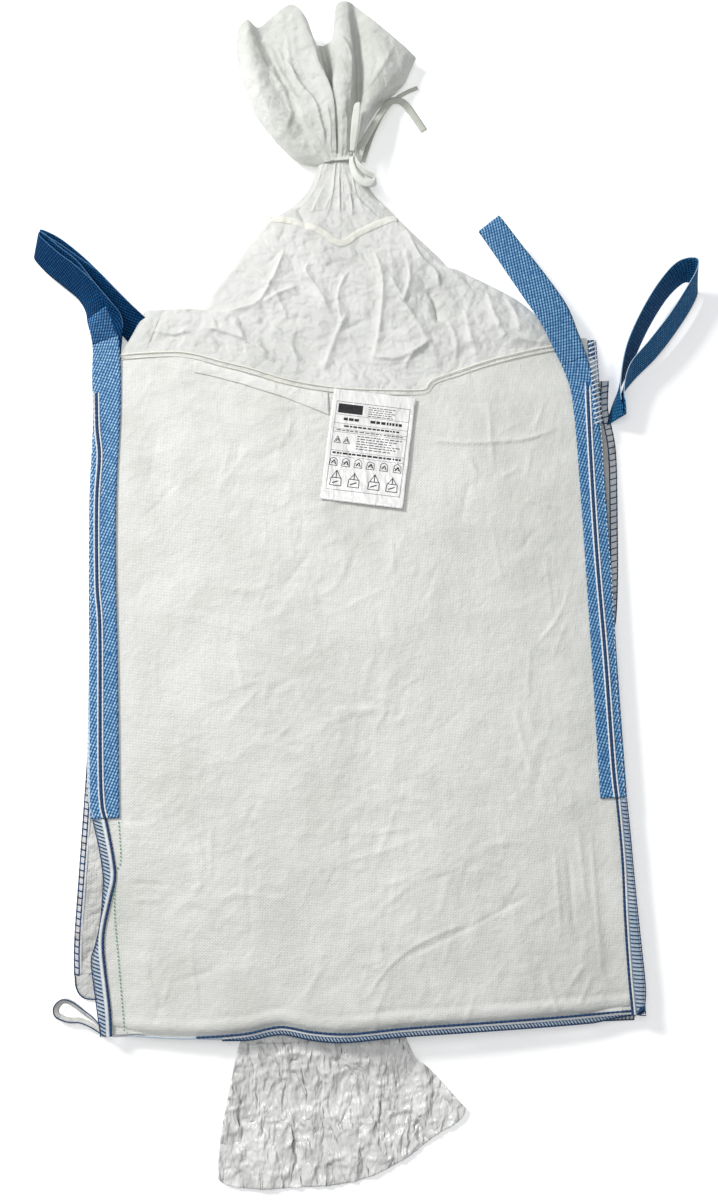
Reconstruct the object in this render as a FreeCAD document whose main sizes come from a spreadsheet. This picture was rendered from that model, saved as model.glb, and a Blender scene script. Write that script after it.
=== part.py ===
"""Flat-folded bulk bag (flexible intermediate bulk container), laid on its back.

Millimetres. The origin lies on the floor under the middle of the back wall.
+X runs to the bag's right, +Y towards the filling spout and +Z up, away from the floor.
Each wall is a thin closed sheet, each loop a closed strap ring, and each seam its own strip.
"""
import FreeCAD, Part
import math
import os
import Sketcher

PARTS_FOLDER = "parts"
X_AXIS = FreeCAD.Vector(1, 0, 0)
Z_AXIS = FreeCAD.Vector(0, 0, 1)

# Driving dimensions: name, value, what it is.
DRIVING_SIZES = (
    ("body_width", 900, "flat width of each wall"),
    ("body_height", 1200, "height of each wall"),
    ("cloth", 2, "thickness of the outer walls"),
    ("inner_cloth", 1.6, "thickness of the folded inner leaves"),
    ("play", 0.3, "air left between neighbouring layers"),
    ("front_level", 34, "height of the front wall's underside at its side edges"),
    ("crown", 20, "how far the slack front wall bulges up in its middle"),
    ("edge_band", 38, "flat band along each side edge"),
    ("seam_dip", 103, "lowest point of the top seam below the walls' top"),
    ("seam_dip_x", 85, "where the top seam is lowest"),
    ("seam_left_drop", 14, "left end of the top seam below the walls' top"),
    ("seam_right_drop", 26, "right end of the top seam below the walls' top"),
    ("flange_width", 18, "seam allowance that stands out beyond each seam"),
    ("webbing_thick", 2, "thickness of the lifting webbing"),
    ("leg_inner", 417, "inner edge of the sewn webbing"),
    ("leg_outer", 466, "outer edge of the sewn webbing"),
    ("leg_foot", 235, "sewn webbing ends this far below the middle"),
    ("strap_width", 60, "width of a free loop's strap"),
    ("gusset_tip", 12, "half gap between the folds of the two side walls"),
    ("neck_middle", 10, "middle of the tied neck across the bag"),
    ("neck_half", 36, "half width of the tied neck"),
    ("neck_start", 940, "where the tied neck begins"),
    ("spout_seam", 817, "where the filling spout joins the top cover"),
    ("mouth", 1262, "where the filling spout's mouth ends"),
    ("label_width", 148, "width of the document label"),
    ("label_length", 204, "free length of the document label"),
    ("label_turn", 9.4, "clockwise turn of the label"),
    ("tape_width", 15, "width of the tie tape"),
    ("tail_end", 862, "end of the liner's outlet tail"),
    ("tail_root", 622.5, "where the liner's outlet tail folds"),
)


class Size:
    """A dimension with its value and the spreadsheet expression that drives it."""

    def __init__(self, value, text):
        self.value = value
        self.text = text

    def __add__(self, other):
        other = as_size(other)
        return Size(self.value + other.value, f"({self.text} + {other.text})")

    def __radd__(self, other):
        return as_size(other) + self

    def __neg__(self):
        return Size(-self.value, f"(0 - {self.text})")

    def __sub__(self, other):
        return self + -as_size(other)

    def __rsub__(self, other):
        return as_size(other) + -self

    def __mul__(self, other):
        other = as_size(other)
        return Size(self.value * other.value, f"({self.text} * {other.text})")

    def __rmul__(self, other):
        return as_size(other) * self

    def __truediv__(self, other):
        other = as_size(other)
        return Size(self.value / other.value, f"({self.text} / {other.text})")


def as_size(number):
    """Wrap a plain number so that it can stand in an expression."""
    if isinstance(number, Size):
        return number
    return Size(float(number), f"({float(number):g})")


def make_sheet(doc):
    """Write the driving dimensions to a spreadsheet and return them by name."""
    sheet = doc.addObject("Spreadsheet::Sheet", "Sizes")
    sizes = {}
    for row, (name, value, meaning) in enumerate(DRIVING_SIZES, start=1):
        sheet.set(f"A{row}", name)
        sheet.set(f"B{row}", str(value))
        sheet.set(f"C{row}", meaning)
        sheet.setAlias(f"B{row}", name)
        sizes[name] = Size(float(value), f"Sizes.{name}")
    doc.recompute()
    return sizes


doc = FreeCAD.newDocument("BulkBag")
S = make_sheet(doc)
nodes = []

HALF_WIDTH = S["body_width"] / 2
HALF_HEIGHT = S["body_height"] / 2
CLOTH = S["cloth"]
PLAY = S["play"]
LEVEL = S["front_level"]
FLAT_FROM = HALF_WIDTH - S["edge_band"]
ON_FRONT = CLOTH + PLAY
FLANGE_OUT = HALF_WIDTH + PLAY + S["flange_width"]


def bind(item, name, size):
    """Tie one property to the spreadsheet."""
    item.setExpression(name, as_size(size).text)


def bind_place(item, place, turn=None):
    """Tie an object's position, and its turn about +Z, to the spreadsheet."""
    values = [as_size(size) for size in place]
    angle = as_size(0 if turn is None else turn)
    item.Placement = FreeCAD.Placement(
        FreeCAD.Vector(*[size.value for size in values]),
        FreeCAD.Rotation(Z_AXIS, angle.value))
    for axis, size in zip("xyz", values):
        bind(item, f"Placement.Base.{axis}", size)
    if turn is not None:
        bind(item, "Placement.Rotation.Angle", angle)


def keep(item, label):
    """Name a finished sub-part, so that it is written to its own file."""
    item.Label = label
    nodes.append(item)
    return item


def origin_plane(body, role):
    return next(f for f in body.Origin.OriginFeatures if f.Role == role)


def add_sketch(body, role, shift=None, roll=None):
    """Attach a new sketch to one of the body's own origin planes."""
    sketch = body.newObject("Sketcher::SketchObject", f"{body.Name}Sketch")
    sketch.AttachmentSupport = (origin_plane(body, role), "")
    sketch.MapMode = "FlatFace"
    if shift is not None:
        sketch.AttachmentOffset.Base.z = as_size(shift).value
        bind(sketch, "AttachmentOffset.Base.z", shift)
    if roll is not None:
        angle = as_size(roll)
        sketch.AttachmentOffset = FreeCAD.Placement(
            FreeCAD.Vector(), FreeCAD.Rotation(X_AXIS, angle.value))
        bind(sketch, "AttachmentOffset.Rotation.Angle", angle)
    return sketch


def fix_point(sketch, geometry, end, spot):
    """Hold one sketch point at a driven position."""
    for kind, size in zip(("DistanceX", "DistanceY"), spot):
        size = as_size(size)
        index = sketch.addConstraint(
            Sketcher.Constraint(kind, -1, 1, geometry, end, size.value))
        bind(sketch, f"Constraints[{index}]", size)


def vector(spot):
    return FreeCAD.Vector(as_size(spot[0]).value, as_size(spot[1]).value, 0)


def add_outline(sketch, corners, bulges=None):
    """Draw a closed outline; bulges maps a side's number to a point its arc passes."""
    bulges = bulges or {}
    count = len(corners)
    first = sketch.GeometryCount
    ends = []
    for index, corner in enumerate(corners):
        start = vector(corner)
        finish = vector(corners[(index + 1) % count])
        if index in bulges:
            arc = Part.Arc(start, vector(bulges[index]), finish)
            sketch.addGeometry(arc, False)
            counter_clockwise = arc.toShape().Curve.Axis.z > 0
            ends.append((1, 2) if counter_clockwise else (2, 1))
        else:
            sketch.addGeometry(Part.LineSegment(start, finish), False)
            ends.append((1, 2))
    for index in range(count):
        after = (index + 1) % count
        sketch.addConstraint(Sketcher.Constraint(
            "Coincident", first + index, ends[index][1], first + after, ends[after][0]))
    for index, corner in enumerate(corners):
        fix_point(sketch, first + index, ends[index][0], corner)
    for index, spot in bulges.items():
        point = sketch.addGeometry(Part.Point(vector(spot)), True)
        fix_point(sketch, point, 1, spot)
        sketch.addConstraint(Sketcher.Constraint("PointOnObject", point, 1, first + index))


def new_body(name):
    return doc.addObject("PartDesign::Body", name)


def add_pad(body, sketch, depth):
    """Pad a sketch half each way."""
    feature = body.newObject("PartDesign::Pad", f"{body.Name}Pad")
    feature.Profile = (sketch, [""])
    feature.SideType = "Symmetric"
    bind(feature, "Length", depth)
    return feature


def padded(name, role, corners, depth, place=(0, 0, 0), bulges=None, turn=None):
    """A body of one outline, padded half each way and moved to its place."""
    body = new_body(name)
    sketch = add_sketch(body, role)
    add_outline(sketch, corners, bulges)
    add_pad(body, sketch, depth)
    bind_place(body, place, turn)
    return body


def slab(name, xs, ys, zs):
    """A plain strip between three pairs of limits."""
    box = doc.addObject("Part::Box", name)
    for side, (low, high) in zip(("Length", "Width", "Height"), (xs, ys, zs)):
        bind(box, side, as_size(high) - low)
    bind_place(box, (xs[0], ys[0], zs[0]))
    return box


def plate(name, corners, low, high):
    """A flat sheet of any outline, seen from above, between two heights."""
    low = as_size(low)
    return padded(name, "XY_Plane", corners, high - low, (0, 0, (low + high) / 2))


def combine(kind, name, items):
    """Join, cut or intersect finished shapes."""
    result = doc.addObject(kind, name)
    if kind in ("Part::MultiFuse", "Part::MultiCommon"):
        result.Shapes = items
    elif kind == "Part::Compound":
        result.Links = items
    else:
        result.Base, result.Tool = items
    return result


def both_sides():
    """The left side and the right side, with the sign of X on each."""
    return (("left", -1), ("right", 1))


def span(side, inner, outer):
    """Limits along X on one side of the bag, lower first."""
    if side > 0:
        return (inner, outer)
    return (-as_size(outer), -as_size(inner))


def crowned(name, lift, thickness, start, finish, half_width=HALF_WIDTH):
    """A sheet that follows the slack front wall, raised by lift, from start to finish in Y."""
    low = LEVEL + lift
    high = low + thickness
    corners = [(-half_width, low), (-FLAT_FROM, low), (FLAT_FROM, low), (half_width, low),
               (half_width, high), (FLAT_FROM, high), (-FLAT_FROM, high), (-half_width, high)]
    bulges = {1: (0, low + S["crown"]), 5: (0, high + S["crown"])}
    length = as_size(finish) - start
    middle = (as_size(finish) + start) / 2
    return padded(name, "XZ_Plane", corners, length, (0, middle, 0), bulges)


def seam_corners(drop):
    """Ends and lowest point of the sagging top seam, moved down by drop."""
    margin = 5
    left = (-HALF_WIDTH - margin, HALF_HEIGHT - S["seam_left_drop"] - drop)
    right = (HALF_WIDTH + margin, HALF_HEIGHT - S["seam_right_drop"] - drop)
    lowest = (S["seam_dip_x"], HALF_HEIGHT - S["seam_dip"] - drop)
    return left, lowest, right


def above_seam(name, drop):
    """A tall block over everything above the sagging top seam."""
    left, lowest, right = seam_corners(drop)
    top = HALF_HEIGHT + 60
    corners = [left, right, (right[0], top), (left[0], top)]
    depth = 200
    return padded(name, "XY_Plane", corners, depth, bulges={0: lowest})


def seam_band(name, high_drop, low_drop):
    """A tall band that follows the top seam between two offsets."""
    high_left, high_low, high_right = seam_corners(high_drop)
    low_left, low_low, low_right = seam_corners(low_drop)
    corners = [low_left, low_right, high_right, high_left]
    depth = 200
    return padded(name, "XY_Plane", corners, depth, bulges={0: low_low, 2: high_low})


def build_walls():
    """Front wall, back wall, two side walls folded inwards, and the bottom wall."""
    front = crowned("FrontSheet", 0, CLOTH, -HALF_HEIGHT, HALF_HEIGHT)
    keep(combine("Part::Cut", "FrontPanel", (front, above_seam("AboveSeam", 0))), "front_panel")

    raised = S["webbing_thick"] + 0.4
    rest = FLAT_FROM - 7
    lifted = FLAT_FROM + 6
    corners = [(-HALF_WIDTH, raised), (-lifted, raised), (-rest, 0), (rest, 0),
               (lifted, raised), (HALF_WIDTH, raised), (HALF_WIDTH, raised + CLOTH),
               (lifted, raised + CLOTH), (rest, CLOTH), (-rest, CLOTH),
               (-lifted, raised + CLOTH), (-HALF_WIDTH, raised + CLOTH)]
    keep(padded("BackPanel", "XZ_Plane", corners, S["body_height"]), "back_panel")

    edge = HALF_WIDTH - 3
    leaf = S["inner_cloth"] + 0.2
    fold = LEVEL / 2
    upper = LEVEL - CLOTH
    lower = raised + CLOTH + 0.2
    for name, side in both_sides():
        corners = [(side * edge, upper), (side * S["gusset_tip"], fold + 1),
                   (side * S["gusset_tip"], fold - 1), (side * edge, lower),
                   (side * edge, lower + leaf), (side * (S["gusset_tip"] + 18), fold),
                   (side * edge, upper - leaf)]
        keep(padded(f"SidePanel{name.title()}", "XZ_Plane", corners, S["body_height"] - 8),
             f"{name}_side_panel")

    leaf = S["inner_cloth"] - 0.2
    foot = -HALF_HEIGHT + 2
    apex = -HALF_HEIGHT + HALF_WIDTH - 15
    front_low = LEVEL - CLOTH + PLAY
    back_low = CLOTH + PLAY
    front_leaf = plate("BottomFront", [(20 - HALF_WIDTH, foot), (HALF_WIDTH - 20, foot), (0, apex)],
                       front_low, front_low + leaf)
    back_leaf = plate("BottomBack", [(50 - HALF_WIDTH, foot), (HALF_WIDTH - 50, foot), (0, apex)],
                      back_low, back_low + leaf)
    web_half = S["gusset_tip"] / 2
    web = slab("BottomFold", (-web_half, web_half), (apex - 40, apex - 15),
               (back_low, front_low + leaf))
    keep(combine("Part::MultiFuse", "BottomPanel", [front_leaf, back_leaf, web]), "bottom_panel")


def loft_shell(name, outer, inner):
    """A lofted sheet-walled tube from pairs of position along Y and section outline."""
    body = new_body(name)
    for kind, stations in (("PartDesign::AdditiveLoft", outer),
                           ("PartDesign::SubtractiveLoft", inner)):
        sketches = []
        for where, corners in stations:
            sketch = add_sketch(body, "XZ_Plane", shift=-as_size(where))
            add_outline(sketch, corners)
            sketches.append(sketch)
        loft = body.newObject(kind, f"{name}Loft")
        loft.Profile = (sketches[0], [""])
        loft.Sections = [(sketch, [""]) for sketch in sketches[1:]]
        loft.Ruled = True
    return body


def roof(left, right, low, eaves, ridge, wall):
    """A cover's section: flat below and peaked above, drawn in by the wall's thickness."""
    middle = (as_size(left) + right) / 2
    return [(left + wall, low + wall), (right - wall, low + wall), (right - wall, eaves - wall),
            (middle, ridge - wall), (left + wall, eaves - wall)]


def block(left, right, low, high, wall):
    """A tube's oblong section, drawn in by the wall's thickness."""
    return [(left + wall, low + wall), (right - wall, low + wall),
            (right - wall, high - wall), (left + wall, high - wall)]


def build_top():
    """Top cover, the spout's lower part below the tie, and the flared spout above it."""
    neck_left = S["neck_middle"] - S["neck_half"]
    neck_right = S["neck_middle"] + S["neck_half"]
    floor = as_size(4.8)
    ridge = LEVEL + S["crown"] + CLOTH
    seam = S["spout_seam"]
    seam_left = as_size(-158)
    seam_right = as_size(145)
    base = HALF_HEIGHT - 1

    def cover(where, left, right, eaves, peak, wall):
        return (where, roof(left, right, floor, eaves, peak, wall))

    wide = (as_size(-405), as_size(425), LEVEL, ridge)
    narrow = (seam_left, seam_right, LEVEL - 4, ridge - 4)
    shell = loft_shell(
        "CoverShell",
        [cover(base, *wide, 0), cover(seam - 1, *narrow, 0)],
        [cover(base - 1, *wide, CLOTH), cover(seam, *narrow, CLOTH)])
    keep(shell, "top_panel")
    apron = crowned("ApronSheet", 0, CLOTH, HALF_HEIGHT - S["seam_dip"] - 20, base - PLAY)
    keep(combine("Part::Common", "Apron", (apron, above_seam("SeamSide", -PLAY))),
         "top_panel_apron")

    tied = (neck_left - 2, neck_right + 2, LEVEL + 6, LEVEL + 10)
    keep(loft_shell(
        "SpoutBase",
        [cover(seam, *narrow, 0), cover(S["neck_start"], *tied, 0)],
        [cover(seam - 1, *narrow, CLOTH), cover(S["neck_start"] - 30, *tied, CLOTH * 4)]),
        "filling_spout_base")

    first = S["neck_start"] + 6
    stations = [
        (first, neck_left, neck_right, 9, 43),
        (first + 22, neck_left, neck_right, 9, 43),
        (as_size(1060), as_size(-150), as_size(84), 4, 56),
        (as_size(1180), as_size(-178), as_size(150), 2, 64),
        (S["mouth"], as_size(-140), as_size(80), 4, 60)]
    wall = CLOTH
    inner = [(where, block(left, right, low, high, wall))
             for where, left, right, low, high in stations[2:4]]
    where, left, right, low, high = stations[1]
    inner.insert(0, (where + 8, block(left, right, low, high, wall * 3)))
    where, left, right, low, high = stations[-1]
    inner.append((where + 1, block(left, right, low, high, wall)))
    keep(loft_shell(
        "FillingSpout",
        [(where, block(left, right, low, high, 0)) for where, left, right, low, high in stations],
        inner), "filling_spout")


def build_ties():
    """The tie tape's wrap round the neck, its knot, its bow, and the casing seams near it."""
    start = S["neck_start"] + 9
    wrap_y = (start, start + S["tape_width"])
    outer = slab("WrapOuter", (S["neck_middle"] - 40, S["neck_middle"] + 40), wrap_y, (5.5, 46.5))
    hole = slab("WrapHole", (S["neck_middle"] - 36.5, S["neck_middle"] + 36.5),
                (start - 1, start + S["tape_width"] + 1), (8.5, 43.5))
    keep(combine("Part::Cut", "TieWrap", (outer, hole)), "tie_wrap")
    knot = doc.addObject("Part::Cylinder", "TieKnot")
    knot.Radius = 9
    knot.Height = 10
    bind_place(knot, (S["neck_middle"] + 24, start + S["tape_width"] / 2, 46.8))
    keep(knot, "tie_knot")
    upper = strap_ring("BowUpper", (S["neck_middle"] + 27, start + 28, 62), 88, 78, 8,
                       S["tape_width"], 1.2, 90)
    keep(upper, "tie_bow_upper")
    lower = strap_ring("BowLower", (S["neck_middle"] + 42, start + 2, 52), -20, 42, 8,
                       S["tape_width"], 1.2, 90)
    keep(lower, "tie_bow_lower")


def strap_ring(name, root, heading, length, eye, width, thickness, roll, tip_eye=None):
    """A closed strap: two straight sides joined by a round root and a round tip.

    The ring starts at root and runs along heading, seen from above. roll turns it about its
    own length: at 0 the strap stands on edge and at 90 it lies with its broad face up.
    """
    tip_eye = eye if tip_eye is None else tip_eye
    root_inside = eye / 2
    tip_inside = tip_eye / 2
    reach = length - root_inside - tip_inside - 2 * thickness
    root_x = root_inside + thickness
    tip_x = root_x + reach
    tilt = math.asin((tip_inside - root_inside) / reach)
    body = new_body(name)
    sketch = add_sketch(body, "XY_Plane", roll=roll)
    for extra in (thickness, 0):
        add_belt(sketch, (root_x, root_inside + extra), (tip_x, tip_inside + extra), tilt)
    add_pad(body, sketch, width)
    bind_place(body, root, heading)
    return body


def add_belt(sketch, root, tip, tilt):
    """Outline round two circles on the X axis, each given as centre and radius."""
    def rim(circle, angle):
        return FreeCAD.Vector(circle[0] + circle[1] * math.cos(angle),
                              circle[1] * math.sin(angle), 0)

    upper = math.pi / 2 + tilt
    lower = -upper
    arcs = []
    for circle, turn in ((tip, 0), (root, math.pi)):
        start, finish = (lower, upper) if turn == 0 else (upper, 2 * math.pi + lower)
        curve = Part.Circle(FreeCAD.Vector(circle[0], 0, 0), Z_AXIS, circle[1])
        arcs.append(sketch.addGeometry(Part.ArcOfCircle(curve, start, finish), False))
    over = sketch.addGeometry(Part.LineSegment(rim(tip, upper), rim(root, upper)), False)
    under = sketch.addGeometry(Part.LineSegment(rim(root, lower), rim(tip, lower)), False)
    for one, one_end, other, other_end in ((arcs[0], 2, over, 1), (over, 2, arcs[1], 1),
                                           (arcs[1], 2, under, 1), (under, 2, arcs[0], 1)):
        sketch.addConstraint(Sketcher.Constraint("Tangent", one, one_end, other, other_end))
    for arc, circle in zip(arcs, (tip, root)):
        sketch.addConstraint(Sketcher.Constraint("Radius", arc, circle[1]))
        fix_point(sketch, arc, 3, (circle[0], 0))


# Free lifting loops: node, root, heading, length, eye at the root, eye at the tip, roll.
LOOPS = (
    ("lifting_loop_front_left", (-430, 634, 33), 128.2, 223, 8, 22, 0),
    ("lifting_loop_back_left", (-397, 682, 33), 133.6, 208, 8, 22, 0),
    ("lifting_loop_front_right", (424, 562, 50), 119.6, 288, 12, 12, 90),
    ("lifting_loop_back_right", (502, 510, 40), 51.9, 258, 8, 46, 20),
)


def build_webbing():
    """Webbing sewn down the four corners, and the free lifting loops above it."""
    level = LEVEL + ON_FRONT
    for name, side in both_sides():
        across = span(side, S["leg_inner"], S["leg_outer"])
        top = HALF_HEIGHT + (4 if side < 0 else -46)
        keep(slab(f"FrontLeg{name}", across, (-S["leg_foot"], top),
                  (level, level + S["webbing_thick"])), f"front_{name}_webbing")
        keep(slab(f"BackLeg{name}", span(side, S["leg_inner"] + 3, S["leg_outer"] + 2),
                  (-S["leg_foot"], HALF_HEIGHT), (0, S["webbing_thick"])),
             f"back_{name}_webbing")
    for label, root, heading, length, eye, tip_eye, roll in LOOPS:
        name = "".join(word.title() for word in label.split("_"))
        keep(strap_ring(name, root, heading, length, eye, S["strap_width"],
                        S["webbing_thick"].value, roll, tip_eye), label)


def build_side_seams():
    """Seam allowances, overlock threads and chain stitches along the four corners."""
    foot = -HALF_HEIGHT + 2
    level = LEVEL
    on_flange = level + ON_FRONT
    on_leg = on_flange + S["webbing_thick"]
    for name, side in both_sides():
        keep(slab(f"FrontFlange{name}", span(side, HALF_WIDTH + PLAY, FLANGE_OUT),
                  (foot, HALF_HEIGHT), (level, level + CLOTH)), f"front_{name}_seam_flange")
        keep(slab(f"FrontThread{name}", span(side, FLANGE_OUT + 0.1, FLANGE_OUT + 2.7),
                  (foot, HALF_HEIGHT), (level - 0.4, level + CLOTH + 0.4)),
             f"front_{name}_overlock")
        lines = []
        for offset in (442, 449):
            across = span(side, as_size(offset), as_size(offset) + 1.4)
            lines.append(slab(f"LegChain{name}{offset}", across,
                              (4 - S["leg_foot"], HALF_HEIGHT - 50), (on_leg, on_leg + 0.8)))
            lines.append(slab(f"FootChain{name}{offset}", across,
                              (foot + 6, -2 - S["leg_foot"]), (on_flange, on_flange + 0.8)))
        keep(combine("Part::Compound", f"Chain{name}", lines), f"front_{name}_chain_stitch")
    build_back_seams()
    keep(slab("MarkerStitch", (-422, -420.6), (foot + 8, -6 - S["leg_foot"]),
              (on_flange, on_flange + 0.6)), "marker_stitch")


def build_back_seams():
    """The back wall's seam allowances, which slew out past the front ones."""
    low = S["webbing_thick"] + 0.4
    high = low + CLOTH
    inside = HALF_WIDTH + PLAY
    top = HALF_HEIGHT - 2
    outer_edges = {
        "left": [(-FLANGE_OUT, top), (-FLANGE_OUT, 20), (-502, -440), (-500, -500)],
        "right": [(FLANGE_OUT + 18, 556), (FLANGE_OUT + 20, 380), (FLANGE_OUT, 30),
                  (FLANGE_OUT, 4 - HALF_HEIGHT)]}
    for name, side in both_sides():
        edge = outer_edges[name]
        inner = [(side * inside, edge[-1][1]), (side * inside, edge[0][1])]
        keep(plate(f"BackFlange{name}", edge + inner, low, high), f"back_{name}_seam_flange")
        near = [(x + side * 0.1, y) for x, y in edge]
        far = [(x + side * 2.6, y) for x, y in reversed(edge)]
        keep(plate(f"BackThread{name}", near + far, low - 0.4, high + 0.4),
             f"back_{name}_overlock")
    tail = padded("SeamTail", "XY_Plane",
                  [(-499, -501), (-482, -534), (-468, -534), (-456, -501)], high - low,
                  (0, 0, (low + high) / 2), bulges={0: (-497, -524)})
    keep(tail, "back_left_seam_tail")


def build_bottom():
    """Bottom seams, discharge outlet, liner, corner loop and corner knot."""
    foot = -HALF_HEIGHT
    reach = 17
    keep(crowned("BottomSeamFront", 0, CLOTH, foot - reach, foot - PLAY), "bottom_seam_front")
    keep(crowned("BottomThreadFront", -0.4, CLOTH + 0.8, foot - reach - 2.6, foot - reach - 0.1),
         "bottom_overlock_front")
    low = S["webbing_thick"] - 1
    keep(slab("BottomSeamBack", (6 - HALF_WIDTH, HALF_WIDTH - 6),
              (foot - reach + 2, foot - PLAY), (low, low + CLOTH)), "bottom_seam_back")
    keep(slab("BottomThreadBack", (6 - HALF_WIDTH, HALF_WIDTH - 6),
              (foot - reach - 0.6, foot - reach + 1.9), (low - 0.4, low + CLOTH + 0.4)),
         "bottom_overlock_back")

    outlet_x = (as_size(-215), as_size(60))
    outlet_z = (as_size(25.6), as_size(31.8))
    wall = 1.4
    outer = slab("OutletOuter", outlet_x, (foot + 8, foot + 385), outlet_z)
    hole = slab("OutletHole", (outlet_x[0] + wall, outlet_x[1] - wall),
                (foot + 7, foot + 386), (outlet_z[0] + wall, outlet_z[1] - wall))
    keep(combine("Part::Cut", "DischargeSpout", (outer, hole)), "discharge_spout")
    liner_z = (as_size(27.6), as_size(29.8))
    keep(slab("LinerNeck", (-208, 52), (-S["tail_root"] + 1.5, foot + 370), liner_z), "liner_neck")
    chamber = LEVEL + 0.4
    keep(slab("InnerLiner", (-380, 380), (foot + 30, HALF_HEIGHT - S["seam_dip"] - 12),
              (chamber, chamber + 1.2)), "inner_liner")
    build_liner_tail(liner_z)

    keep(strap_ring("CornerLoop", (-479, -570, 9.5), 166, 62, 10, 15, 2.4, 0, 32), "corner_loop")
    knot = doc.addObject("Part::Cylinder", "CornerKnot")
    knot.Radius = 7
    knot.Height = 5
    bind_place(knot, (HALF_WIDTH + 10, foot + 9, LEVEL + CLOTH + 0.8))
    keep(knot, "corner_knot")


def build_liner_tail(liner_z):
    """The liner's film tail: out of the outlet, down to the floor and flat along it."""
    low, high = liner_z
    root = -S["tail_root"]
    landing = as_size(-700)
    end = -S["tail_end"]
    film = 2.4
    rest = 0.5
    profile = [(root, low), (landing, rest), (end, rest), (end, rest + film),
               (landing, rest + film), (root, high)]
    sheet = padded("TailSheet", "YZ_Plane", profile, 620)
    outline = [(-212, root + 1), (-241, -697), (-265, -841), (-248, end - 1), (-60, end - 1),
               (1, -846), (160, -745), (81, -665), (55, root + 1)]
    mask = padded("TailOutline", "XY_Plane", outline, 200)
    keep(combine("Part::Common", "LinerTail", (sheet, mask)), "liner_tail")


def build_trims():
    """Top seam tape and flap, the spout's seam tape, the ear of cloth and the label."""
    tape = crowned("TapeSheet", ON_FRONT, 1.6, HALF_HEIGHT - S["seam_dip"] - 60, HALF_HEIGHT + 30)
    tape_window = slab("TapeWindow", (-FLAT_FROM, FLAT_FROM - 34), (400, 640), (0, 120))
    seam_tape = combine("Part::MultiCommon", "TopSeamTape",
                        [tape, seam_band("TapeBand", -12, -1), tape_window])
    keep(seam_tape, "top_seam_tape")
    flap_sheet = crowned("FlapSheet", ON_FRONT, 1, HALF_HEIGHT - S["seam_dip"] - 60, HALF_HEIGHT)
    window = slab("FlapWindow", (-300, -26), (400, 640), (0, 120))
    flap = combine("Part::MultiCommon", "TopSeamFlap",
                   [flap_sheet, seam_band("FlapBand", 1, 27), window])
    keep(flap, "top_seam_flap")
    ridge = LEVEL + S["crown"] + CLOTH
    keep(slab("SpoutTape", (-60, 50), (S["spout_seam"] - 7, S["spout_seam"] + 5),
              (ridge - 3.4, ridge - 2)), "spout_seam_tape")
    keep(plate("CoverEar", [(-402, 606), (-383, 606), (-352, 648), (-357, 668), (-372, 646)],
               LEVEL + CLOTH, LEVEL + 2 * CLOTH), "cover_ear")
    turn = -S["label_turn"]
    reach = S["label_length"]
    body = new_body("Label")
    sketch = add_sketch(body, "XY_Plane")
    half = S["label_width"] / 2
    add_outline(sketch, [(-half, -reach), (half, -reach), (half, 0), (-half, 0)])
    add_pad(body, sketch, 0.8)
    bind_place(body, (56, 497, ridge + 2.6), turn)
    keep(body, "document_label")


# Free ends of the tie tape: the points that each is laid through.
TIE_TAILS = {
    "tie_tail_long": [(47, 966, 50), (72, 1014, 40), (97, 1058, 26), (110, 1080, 16),
                      (134, 1082, 8), (152, 1056, 3.5), (171, 1023, 2)],
    "tie_tail_short": [(53, 955, 22), (66, 1000, 14), (86, 1044, 9), (104, 1074, 7),
                       (136, 1100, 5), (163, 1110, 3)],
}
TAIL_THICK = 3.0


def rounded_route(points):
    """Straight runs joined by arcs as large as the two runs beside each corner allow."""
    corners = [FreeCAD.Vector(*point) for point in points]
    edges = []
    radii = []
    start = corners[0]
    for before, corner, after in zip(corners, corners[1:], corners[2:]):
        inward = (before - corner).normalize()
        outward = (after - corner).normalize()
        turn = math.pi - inward.getAngle(outward)
        cut = 0.45 * min(before.distanceToPoint(corner), after.distanceToPoint(corner))
        radius = cut / math.tan(turn / 2)
        centre = corner + (inward + outward).normalize() * (radius / math.cos(turn / 2))
        arc_start = corner + inward * cut
        arc_end = corner + outward * cut
        middle = centre + (corner - centre).normalize() * radius
        edges.append(Part.LineSegment(start, arc_start).toShape())
        edges.append(Part.Arc(arc_start, middle, arc_end).toShape())
        radii.append(radius)
        start = arc_end
    edges.append(Part.LineSegment(start, corners[-1]).toShape())
    return Part.Wire(edges), radii


def build_tie_tails():
    """The tie tape's two free ends, as plain round cords on the tape's middle line."""
    for label, points in TIE_TAILS.items():
        route, radii = rounded_route(points)
        first = FreeCAD.Vector(*points[0])
        heading = FreeCAD.Vector(*points[1]) - first
        ring = Part.Wire(Part.makeCircle(TAIL_THICK / 2, first, heading))
        tube = route.makePipeShell([ring], True, True)
        expected = math.pi * (TAIL_THICK / 2) ** 2 * route.Length
        print(f"{label}: length {route.Length:.1f}, radii",
              [round(radius, 1) for radius in radii],
              f"volume {tube.Volume:.0f} of {expected:.0f}")
        feature = doc.addObject("Part::Feature", label.title().replace("_", ""))
        feature.Shape = tube
        keep(feature, label)


def check_document():
    """Stop if any object failed to compute or any sub-part has no valid shape."""
    for item in doc.Objects:
        bad = [state for state in item.State if state in ("Invalid", "Error")]
        if bad:
            raise RuntimeError(f"{item.Name} ({item.Label}) is {bad}")
    for item in nodes:
        shape = item.Shape
        if shape.isNull() or not shape.isValid() or not shape.Solids:
            raise RuntimeError(f"{item.Label} has no valid solid")


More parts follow.
